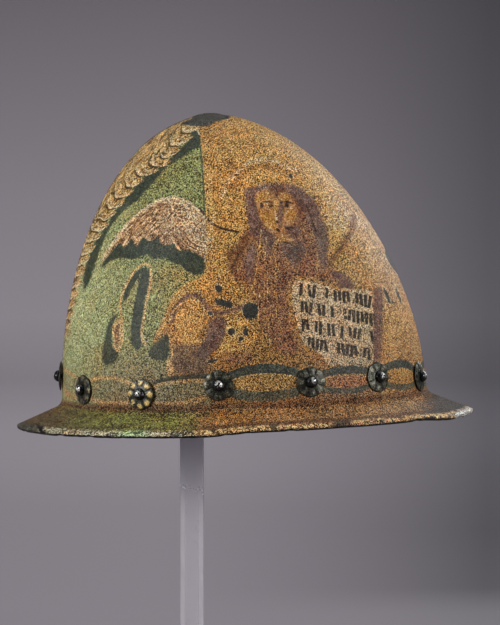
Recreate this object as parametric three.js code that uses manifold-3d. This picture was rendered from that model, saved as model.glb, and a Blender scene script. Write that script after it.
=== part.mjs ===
// A painted cabasset helmet on a plain display stand.
// Millimetres, +Z up, +X towards the helmet's front, +Y towards its wearer's left.
// The origin is the middle of the stand's foot, on the surface that it stands on.
import * as THREE from "three";
import { mergeVertices } from "three/addons/utils/BufferGeometryUtils.js";
import Module from "manifold-3d";

const wasm = await Module();
wasm.setup();

// Skull: a pointed oval bowl. Heights count from the level at which its wall would stand upright.
const SKULL_LENGTH = 234;
const SKULL_WIDTH = 197;
const CROWN_HEIGHT = 183.2;
const APEX_SETBACK = 14.5;
const PLATE = 1.5;
const ROUNDNESS = { front: 1.8, back: 2, side: 1.86 };
const KEEL = 0.14;

// Brim: a fillet below the wall, a sloping flange and a turned edge.
const BRIM_LENGTH = 294;
const BRIM_WIDTH = 248;
const BRIM_DROP = 10.2;
const FILLET_TOP = 5.5;
const FILLET_RADIUS = 6;
const FILLET_TURN = THREE.MathUtils.degToRad(70);
const BEAD_RADIUS = 1.7;

// Rows of the skull's skin: stage 0 to 1 is the bowl, 1 to 2 the fillet and 2 to 3 the flange.
const SEGMENTS = 52;
const OUTER_STAGES = [...steps(0, 1, 17), ...steps(1.25, 2, 3), ...steps(2.33, 2.67, 1)];
const INNER_STAGES = [...steps(2.75, 2, 2), ...steps(1.67, 1.33, 1), ...steps(1, 0, 13)];
const BEAD_ROWS = 6;
const BEAD_END = 1.55 * Math.PI;

// Stalk: the low stub at the apex. Its place counts from the apex, along the keel.
const STALK = { along: -3, above: -3.5, halfLength: 12, halfWidth: 7, halfHeight: 4.4 };

// Rivets with their rosette washers: one on the keel at the back and six pairs.
// A turn is in degrees from the front.
const RIVETS = [
  { turn: 180, height: 19.4, sides: [1] },
  { turn: 152.7, height: 13, sides: [1, -1] },
  { turn: 124.6, height: 11.4, sides: [1, -1] },
  { turn: 97.7, height: 16.1, sides: [1, -1] },
  { turn: 67.6, height: 15.9, sides: [1, -1] },
  { turn: 41.1, height: 15.7, sides: [1, -1] },
  { turn: 13.7, height: 12.6, sides: [1, -1] },
];
const ROSETTE = { radius: 9.1, collarHeight: 1.45, petals: 8, sidesPerPetal: 2, scallop: 0.03 };
const ROSETTE_SECTION = [
  { radiusShare: 1, height: 0, petalHeight: 0 },
  { radiusShare: 1, height: 0.55, petalHeight: 0 },
  { radiusShare: 0.86, height: 1.05, petalHeight: 0.22 },
  { radiusShare: 0.66, height: 1.25, petalHeight: 0.4 },
  { radiusShare: 0.44, height: ROSETTE.collarHeight, petalHeight: 0 },
];
const RIVET = { headRadius: 3.8, headHeight: 3.3, shankRadius: 1.4, tailRadius: 2.9, tailLength: 1.2 };
const RIVET_SIDES = 10;
const SHANK_HOLE = { radius: 1.75, length: 30, sides: 8 };

// Stand: foot, post and the cap that carries the crown from inside.
const HELMET_TILT = THREE.MathUtils.degToRad(2);
const BRIM_CLEARANCE = 150;
const FOOT = { side: 170, height: 10, corner: 6, bevel: 1 };
const POST = { side: 15, behind: 34, socket: 4 };
const CAP = { depth: 15, pocket: 6 };

const GAP = 0.3;
const CAP_DEPTH = PLATE + GAP + 0.1;

const MATERIALS = {
  paintedSteel: new THREE.MeshStandardMaterial({ color: 0xa37436, roughness: 0.55, metalness: 0.1 }),
  darkBrass: new THREE.MeshStandardMaterial({ color: 0x4a4a38, roughness: 0.42, metalness: 0.85 }),
  steel: new THREE.MeshStandardMaterial({ color: 0x2c2e30, roughness: 0.25, metalness: 0.95 }),
  acrylic: new THREE.MeshStandardMaterial({ color: 0xc9c8cd, roughness: 0.1, opacity: 0.4, transparent: true }),
  felt: new THREE.MeshStandardMaterial({ color: 0x5f5d62, roughness: 0.95, metalness: 0 }),
};

// How far a rounded profile of this reach and roundness has spread at a share of its full height.
function spread(reach, roundness, share) {
  return reach * Math.pow(Math.max(0, 1 - Math.pow(share, roundness)), 1 / roundness);
}

// A point of a level section: two arcs that meet in a keel at the front and the back.
// Turn 0 is the front.
function sectionPoint({ middle, halfLength, halfWidth }, turn, height) {
  const keelTurn = Math.asin(KEEL / (1 + KEEL));
  const side = turn <= Math.PI ? 1 : -1;
  const halfTurn = side > 0 ? turn : 2 * Math.PI - turn;
  const angle = keelTurn + halfTurn * (1 - (2 * keelTurn) / Math.PI);
  return new THREE.Vector3(
    middle + (halfLength / Math.cos(keelTurn)) * Math.cos(angle),
    side * Math.max(0, halfWidth * ((1 + KEEL) * Math.sin(angle) - KEEL)),
    height,
  );
}

function bowlPoint(share, turn) {
  const level = Math.cos(share * Math.acos(FILLET_TOP / CROWN_HEIGHT));
  const height = CROWN_HEIGHT * level;
  const front = spread(SKULL_LENGTH / 2 + APEX_SETBACK, ROUNDNESS.front, level);
  const back = spread(SKULL_LENGTH / 2 - APEX_SETBACK, ROUNDNESS.back, level);
  const section = {
    middle: (front - back) / 2 - APEX_SETBACK,
    halfLength: (front + back) / 2,
    halfWidth: spread(SKULL_WIDTH / 2, ROUNDNESS.side, level),
  };
  return sectionPoint(section, turn, height);
}

// The wall widened outwards by a share of the brim's width.
function flaredPoint(outset, turn, height) {
  const section = {
    middle: 0,
    halfLength: SKULL_LENGTH / 2 + (outset * (BRIM_LENGTH - SKULL_LENGTH)) / 2,
    halfWidth: SKULL_WIDTH / 2 + (outset * (BRIM_WIDTH - SKULL_WIDTH)) / 2,
  };
  return sectionPoint(section, turn, height);
}

function outerPoint(stage, turn) {
  const width = (BRIM_LENGTH - SKULL_LENGTH) / 2;
  const filletOutset = (FILLET_RADIUS * (1 - Math.cos(FILLET_TURN))) / width;
  const filletFoot = FILLET_TOP - FILLET_RADIUS * Math.sin(FILLET_TURN);
  const flangeEnd = 1 - BEAD_RADIUS / width;
  if (stage <= 1) return bowlPoint(stage, turn);
  if (stage <= 2) {
    const bend = (stage - 1) * FILLET_TURN;
    const outset = (FILLET_RADIUS * (1 - Math.cos(bend))) / width;
    return flaredPoint(outset, turn, FILLET_TOP - FILLET_RADIUS * Math.sin(bend));
  }
  const run = stage - 2;
  return flaredPoint(
    THREE.MathUtils.lerp(filletOutset, flangeEnd, run),
    turn,
    THREE.MathUtils.lerp(filletFoot, -BRIM_DROP, run),
  );
}

// The outward normal and the downward tangent of the outer face, by small steps to each side.
function outerFrame(stage, turn) {
  const step = 0.004;
  const around = outerPoint(stage, (turn + step) % (2 * Math.PI)).sub(
    outerPoint(stage, (turn - step + 2 * Math.PI) % (2 * Math.PI)),
  );
  const down = outerPoint(Math.min(3, stage + step), turn).sub(outerPoint(Math.max(0, stage - step), turn));
  if (stage < step) return { normal: new THREE.Vector3(0, 0, 1), down };
  return { normal: new THREE.Vector3().crossVectors(down, around).normalize(), down: down.normalize() };
}

function innerPoint(stage, turn, depth) {
  return outerPoint(stage, turn).addScaledVector(outerFrame(stage, turn).normal, -depth);
}

// A point of the turned edge, whose round section starts at the top of the flange.
function beadPoint(angle, turn) {
  const { normal, down } = outerFrame(3, turn);
  return outerPoint(3, turn)
    .addScaledVector(normal, BEAD_RADIUS * (Math.cos(angle) - 1))
    .addScaledVector(down, BEAD_RADIUS * Math.sin(angle));
}

function columnTurn(column) {
  return ((column % SEGMENTS) / SEGMENTS) * 2 * Math.PI;
}

// Numbers from first to last in equal steps.
function steps(first, last, count) {
  return Array.from({ length: count + 1 }, (_, i) => THREE.MathUtils.lerp(first, last, i / count));
}

// A closed skin from rows of points, each row a function of the turn.
// The first and last rows are single points.
function skinOf(rows) {
  const last = rows.length - 1;
  const profile = rows.map((_, i) => new THREE.Vector2(Math.sin((i / last) * Math.PI), last - i));
  profile[0].x = profile[last].x = 0;
  const skin = new THREE.LatheGeometry(profile, SEGMENTS);
  const position = skin.getAttribute("position");
  for (let column = 0; column <= SEGMENTS; column++) {
    const turn = columnTurn(SEGMENTS - column);
    rows.forEach((row, i) => {
      const point = row(turn);
      position.setXYZ(column * rows.length + i, point.x, point.y, point.z);
    });
  }
  return skin;
}

function solidOf(geometry, matrix = new THREE.Matrix4()) {
  const bare = geometry.clone().applyMatrix4(matrix);
  bare.deleteAttribute("normal");
  bare.deleteAttribute("uv");
  const merged = mergeVertices(bare, 1e-3);
  const mesh = new wasm.Mesh({
    numProp: 3,
    vertProperties: merged.getAttribute("position").array,
    triVerts: new Uint32Array(merged.index.array),
  });
  return new wasm.Manifold(mesh);
}

function geometryOf(solid) {
  const { vertProperties, triVerts } = solid.getMesh();
  return new THREE.BufferGeometry()
    .setAttribute("position", new THREE.BufferAttribute(vertProperties, 3))
    .setIndex(new THREE.BufferAttribute(triVerts, 1));
}

function mesh(name, geometry, material) {
  const made = new THREE.Mesh(geometry, material);
  made.name = name;
  return made;
}

// Where each rivet goes: its place on the outer face and the outward direction there.
function rivetSeats() {
  return RIVETS.flatMap(({ turn, height, sides }) =>
    sides.map((side) => {
      const around = THREE.MathUtils.degToRad(side > 0 ? 360 - turn : turn);
      const stage = Math.acos(height / CROWN_HEIGHT) / Math.acos(FILLET_TOP / CROWN_HEIGHT);
      return { place: outerPoint(stage, around), outward: outerFrame(stage, around).normal };
    }),
  );
}

// How far the faceted wall, at a depth below the outer face, stands out of a seat's plane near its axis.
function wallSpan({ place, outward }, radius, depth, stages) {
  const heights = [];
  for (let row = 1; row < stages.length; row++)
    for (let column = 0; column < SEGMENTS; column++) {
      const [a, b, c, d] = [row - 1, row].flatMap((i) =>
        [column, column + 1].map((j) => innerPoint(stages[i], columnTurn(j), depth)),
      );
      if (a.distanceTo(place) > 4 * ROSETTE.radius) continue;
      for (const down of steps(0, 1, 10))
        for (const across of steps(0, 1, 10)) {
          const bottom = c.clone().lerp(d, across);
          const offset = a.clone().lerp(b, across).lerp(bottom, down).sub(place);
          const out = offset.dot(outward);
          const aside = Math.sqrt(Math.max(0, offset.lengthSq() - out ** 2));
          if (aside <= radius) heights.push(out);
        }
    }
  return { highest: Math.max(...heights), lowest: Math.min(...heights) };
}

// The inside of the crown as a solid, its surface at a depth below the skull's outer face.
function crownForm(depth, matrix) {
  const stages = INNER_STAGES.filter((stage) => stage < 0.6).reverse();
  const floor = new THREE.Vector3(-APEX_SETBACK, 0, 0.5 * CROWN_HEIGHT);
  const rows = stages.map((stage) => (turn) => innerPoint(stage, turn, depth));
  return solidOf(skinOf([...rows, () => floor]), matrix);
}

function skullSolid(seats) {
  const rows = [
    ...OUTER_STAGES.map((stage) => (turn) => outerPoint(stage, turn)),
    ...steps(0, BEAD_END, BEAD_ROWS).map((angle) => (turn) => beadPoint(angle, turn)),
    ...INNER_STAGES.map((stage) => (turn) => innerPoint(stage, turn, PLATE)),
  ];
  let skull = solidOf(skinOf(rows));
  skull = skull.add(stalkSolid().subtract(crownForm(PLATE / 2)));
  for (const seat of seats) skull = skull.subtract(shankHole(seat));
  return skull;
}

function stalkSolid() {
  const { along, above, halfLength, halfWidth, halfHeight } = STALK;
  const unitBall = new THREE.SphereGeometry(1, 14, 8).rotateX(Math.PI / 2);
  const place = new THREE.Matrix4().compose(
    new THREE.Vector3(along - APEX_SETBACK, 0, CROWN_HEIGHT + above - stalkFall(along)),
    new THREE.Quaternion().setFromAxisAngle(new THREE.Vector3(0, 1, 0), stalkLean(along)),
    new THREE.Vector3(halfLength, halfWidth, halfHeight),
  );
  return solidOf(unitBall, place);
}

// The crown's height lost at a distance from the apex, along the keel.
function stalkFall(along) {
  const reach = SKULL_LENGTH / 2 + (along > 0 ? APEX_SETBACK : -APEX_SETBACK);
  const roundness = along > 0 ? ROUNDNESS.front : ROUNDNESS.back;
  return CROWN_HEIGHT - spread(CROWN_HEIGHT, roundness, Math.abs(along) / reach);
}

function stalkLean(along) {
  return Math.atan((stalkFall(along + 1) - stalkFall(along - 1)) / 2);
}

// A cylinder along a seat's outward direction, wide enough for the shank.
function shankHole({ place, outward }) {
  const turnOutwards = new THREE.Quaternion().setFromUnitVectors(new THREE.Vector3(0, 1, 0), outward);
  const { radius, length, sides } = SHANK_HOLE;
  const bore = new THREE.CylinderGeometry(radius, radius, length, sides);
  return solidOf(bore, new THREE.Matrix4().compose(place, turnOutwards, new THREE.Vector3(1, 1, 1)));
}

// A dished washer with petals and a scalloped rim, its back at z = 0 and its axis along +Z.
function rosetteGeometry() {
  const { radius, collarHeight, petals, sidesPerPetal, scallop } = ROSETTE;
  const sides = petals * sidesPerPetal;
  const face = ROSETTE_SECTION.map((row) => new THREE.Vector2(row.radiusShare * radius, row.height));
  const boreBottom = new THREE.Vector2(SHANK_HOLE.radius, 0);
  const boreTop = new THREE.Vector2(SHANK_HOLE.radius, collarHeight);
  const profile = [boreBottom, ...face, boreTop, boreBottom];
  const washer = new THREE.LatheGeometry(profile, sides);
  const position = washer.getAttribute("position");
  for (let column = 0; column <= sides; column++) {
    const wave = Math.cos((2 * Math.PI * (column % sides)) / sidesPerPetal);
    ROSETTE_SECTION.forEach(({ radiusShare, height, petalHeight }, i) => {
      const index = column * profile.length + i + 1;
      const stretch = 1 + scallop * wave * radiusShare ** 2;
      const lift = height + petalHeight * wave;
      position.setXYZ(index, position.getX(index) * stretch, lift, position.getZ(index) * stretch);
    });
  }
  return washer.rotateX(Math.PI / 2);
}

// A domed rivet, its head's underside at z = 0, with the shank and the clenched tail below it.
function rivetGeometry(grip) {
  const { headRadius, headHeight, shankRadius, tailRadius, tailLength } = RIVET;
  const dome = steps(Math.PI / 2, 0, 3).map(
    (angle) => new THREE.Vector2(headRadius * Math.cos(angle), headHeight * Math.sin(angle)),
  );
  dome[0].x = 0;
  const below = [
    new THREE.Vector2(shankRadius, 0),
    new THREE.Vector2(shankRadius, -grip),
    new THREE.Vector2(tailRadius, -grip),
    new THREE.Vector2(tailRadius * 0.75, -grip - tailLength),
    new THREE.Vector2(0, -grip - tailLength),
  ];
  const profile = [...below.reverse(), ...dome.reverse()];
  return new THREE.LatheGeometry(profile, RIVET_SIDES).rotateX(Math.PI / 2);
}

function rivetParts(seats) {
  return seats.flatMap((seat, i) => {
    const label = String(i + 1).padStart(2, "0");
    const standOff = wallSpan(seat, ROSETTE.radius * (1 + ROSETTE.scallop), 0, OUTER_STAGES).highest + GAP;
    const headSeat = standOff + ROSETTE.collarHeight + GAP;
    const grip = headSeat - wallSpan(seat, RIVET.tailRadius, PLATE, INNER_STAGES).lowest + GAP;
    const facing = new THREE.Quaternion().setFromUnitVectors(new THREE.Vector3(0, 0, 1), seat.outward);
    const rosette = mesh("rosette_" + label, rosetteGeometry(), MATERIALS.darkBrass);
    rosette.position.copy(seat.place).addScaledVector(seat.outward, standOff);
    rosette.quaternion.copy(facing);
    const rivet = mesh("rivet_" + label, rivetGeometry(grip), MATERIALS.steel);
    rivet.position.copy(seat.place).addScaledVector(seat.outward, headSeat);
    rivet.quaternion.copy(facing);
    return [rosette, rivet];
  });
}

// The helmet as a group in its own frame, then tilted and set over the middle of the foot.
function helmetGroup() {
  const seats = rivetSeats();
  const helmet = new THREE.Group();
  helmet.add(mesh("skull", geometryOf(skullSolid(seats)), MATERIALS.paintedSteel), ...rivetParts(seats));
  helmet.rotation.y = -HELMET_TILT;
  helmet.updateMatrixWorld(true);
  const box = new THREE.Box3().setFromObject(helmet, true);
  helmet.position.x = -(box.min.x + box.max.x) / 2;
  helmet.position.z = FOOT.height + BRIM_CLEARANCE - box.min.z;
  helmet.updateMatrixWorld(true);
  return helmet;
}

function boxSolid(sizeX, sizeY, bottom, top, x = 0) {
  const block = new THREE.BoxGeometry(sizeX, sizeY, top - bottom);
  return solidOf(block, new THREE.Matrix4().makeTranslation(x, 0, (top + bottom) / 2));
}

// The stand's cap takes the crown's inner form, cut off level, with a pocket for the post.
function standCap(helmet, capBottom) {
  const slack = POST.side + 2 * GAP;
  return crownForm(CAP_DEPTH, helmet.matrixWorld)
    .intersect(boxSolid(SKULL_LENGTH, SKULL_WIDTH, capBottom, capBottom + 2 * CAP.depth))
    .subtract(boxSolid(slack, slack, capBottom - GAP, capBottom + CAP.pocket, -POST.behind));
}

// The foot: a square plate with round corners and bevelled edges, and a socket for the post.
function standFoot() {
  const slack = POST.side + 2 * GAP;
  const cornerPlace = FOOT.side / 2 - FOOT.bevel - FOOT.corner;
  const outline = new THREE.Shape();
  for (const quarter of [0, 1, 2, 3]) {
    const start = (quarter * Math.PI) / 2;
    const x = cornerPlace * (quarter === 0 || quarter === 3 ? 1 : -1);
    const y = cornerPlace * (quarter < 2 ? 1 : -1);
    outline.absarc(x, y, FOOT.corner, start, start + Math.PI / 2);
  }
  const plate = new THREE.ExtrudeGeometry(outline, {
    depth: FOOT.height - 2 * FOOT.bevel,
    bevelThickness: FOOT.bevel,
    bevelSize: FOOT.bevel,
    bevelSegments: 1,
    curveSegments: 4,
  }).translate(0, 0, FOOT.bevel);
  const socket = boxSolid(slack, slack, FOOT.height - POST.socket, FOOT.height + GAP, -POST.behind);
  return solidOf(plate).subtract(socket);
}

function standParts(helmet) {
  const innerApex = innerPoint(0, 0, CAP_DEPTH).applyMatrix4(helmet.matrixWorld);
  const capBottom = innerApex.z - CAP.depth;
  const postBottom = FOOT.height - POST.socket + GAP;
  const postTop = capBottom + CAP.pocket - GAP;
  const post = new THREE.BoxGeometry(POST.side, POST.side, postTop - postBottom);
  post.translate(-POST.behind, 0, (postTop + postBottom) / 2);
  return [
    mesh("stand_foot", geometryOf(standFoot()), MATERIALS.acrylic),
    mesh("stand_post", post, MATERIALS.acrylic),
    mesh("stand_cap", geometryOf(standCap(helmet, capBottom)), MATERIALS.felt),
  ];
}

const helmet = helmetGroup();
const part = new THREE.Group();
part.add(helmet, ...standParts(helmet));

export default part;
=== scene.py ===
# Looks of a painted cabasset helmet on a plain display stand, in metres, +Z up, +X to its front.
import math

import bmesh
import bpy
import numpy as np
from mathutils import Matrix, Vector


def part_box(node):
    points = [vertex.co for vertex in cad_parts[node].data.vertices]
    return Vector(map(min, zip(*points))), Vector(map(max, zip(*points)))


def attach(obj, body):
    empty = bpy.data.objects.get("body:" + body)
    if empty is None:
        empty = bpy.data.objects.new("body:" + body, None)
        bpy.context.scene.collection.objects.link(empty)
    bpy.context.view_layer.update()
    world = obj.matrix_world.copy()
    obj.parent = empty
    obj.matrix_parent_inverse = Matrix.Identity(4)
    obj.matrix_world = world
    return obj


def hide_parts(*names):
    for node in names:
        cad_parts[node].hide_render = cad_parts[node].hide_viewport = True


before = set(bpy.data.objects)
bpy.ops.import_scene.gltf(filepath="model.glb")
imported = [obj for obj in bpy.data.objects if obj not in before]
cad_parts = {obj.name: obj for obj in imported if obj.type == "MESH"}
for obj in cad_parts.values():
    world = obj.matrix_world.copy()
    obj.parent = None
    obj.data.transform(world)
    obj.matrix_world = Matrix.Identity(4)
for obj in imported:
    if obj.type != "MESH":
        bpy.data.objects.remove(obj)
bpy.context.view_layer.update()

MM = 0.001

# Helmet shape, the same named sizes as the part's source
SKULL_LENGTH = 234 * MM
SKULL_WIDTH = 197 * MM
CROWN_HEIGHT = 183.2 * MM
APEX_SETBACK = 14.5 * MM
PLATE = 1.5 * MM
ROUNDNESS_FRONT = 1.8
ROUNDNESS_BACK = 2
ROUNDNESS_SIDE = 1.86
KEEL = 0.14
BRIM_LENGTH = 294 * MM
BRIM_WIDTH = 248 * MM
BRIM_DROP = 10.2 * MM
FILLET_TOP = 5.5 * MM
FILLET_RADIUS = 6 * MM
FILLET_TURN = math.radians(70)
BEAD_RADIUS = 1.7 * MM
BEAD_END = 1.55 * math.pi
HELMET_TILT = math.radians(2)
STALK = {"along": -3 * MM, "above": -3.5 * MM, "radii": (12 * MM, 7 * MM, 4.4 * MM)}
CAP_DEPTH = 1.9 * MM
CAP_SHARE = 0.6

# Skin mesh: steps of the painted side, columns of each half and rows of each zone
SKIN_STEP = 1.02 * MM
PAINTED_COLUMNS = 44
PLAIN_COLUMNS = 22
BRIM_ROWS = {"fillet": 6, "flange": 14, "edge": 12, "inner_brim": 6, "inner_bowl": 22}
DENT_DEPTH = 0.28 * MM
NICK_DEPTH = 0.26 * MM
BRIM_BEND = {"rise": 2.2 * MM, "from": (-30 * MM, 8 * MM), "to": (106 * MM, 130 * MM)}

# Rivets, as turns in degrees from the front and heights, and the border's rise and fall after each
BORDER = [
    {"turn": 180.0, "height": 19.4, "rise": 6.5, "fall": 7.5, "upper": 0.8, "lower": 1.6},
    {"turn": 152.7, "height": 13.0, "rise": 8.5, "fall": 7.5, "upper": 0.8, "lower": 1.9},
    {"turn": 124.6, "height": 11.4, "rise": 4.5, "fall": 9.0, "upper": 0.6, "lower": 2.4},
    {"turn": 97.7, "height": 16.1, "rise": 10.5, "fall": 9.0, "upper": 4.2, "lower": 4.4},
    {"turn": 67.6, "height": 15.9, "rise": 6.7, "fall": 7.2, "upper": 3.3, "lower": 2.0},
    {"turn": 41.1, "height": 15.7, "rise": 9.0, "fall": 7.0, "upper": 3.6, "lower": 2.4},
    {"turn": 13.7, "height": 12.6, "rise": 7.0, "fall": 7.0, "upper": 3.0, "lower": 2.4},
]
ROSETTE_RADIUS = 9.1 * MM
ROSETTE_BORE = 1.75 * MM
ROSETTE_SCALLOP = 0.03
ROSETTE_COLLAR = 1.45 * MM
PETALS = 8
PETAL_OVAL = {"middle": 0.8, "length": 0.2, "width": 0.78}
GILDING = {"04": 1.0, "05": 0.8, "02": 0.15, "03": 0.15}
RIVET_HEAD = {"radius": 3.8 * MM, "height": 3.3 * MM}
# Painted highlight on each rivet crown: where it sits from the crown's top, and its radius
CROWN_HIGHLIGHT = {"shift": (0.5 * MM, 0, 1.0 * MM), "radius": 1.8 * MM}
RIVET_SHANK = 1.4 * MM
RIVET_TAIL = {"radius": 2.9 * MM, "length": 1.2 * MM}
GAP = 0.3 * MM

# The photograph's camera, and its frame in pixels
PHOTO_SIZE = (500, 625)
PIXEL = 0.64 * MM
CAMERA_DISTANCE = 1.7
CAMERA_ELEVATION = math.radians(2.2)
CAMERA_AIM = Vector((0.0032, 0, 0.2344))
SENSOR_WIDTH = 36
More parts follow.
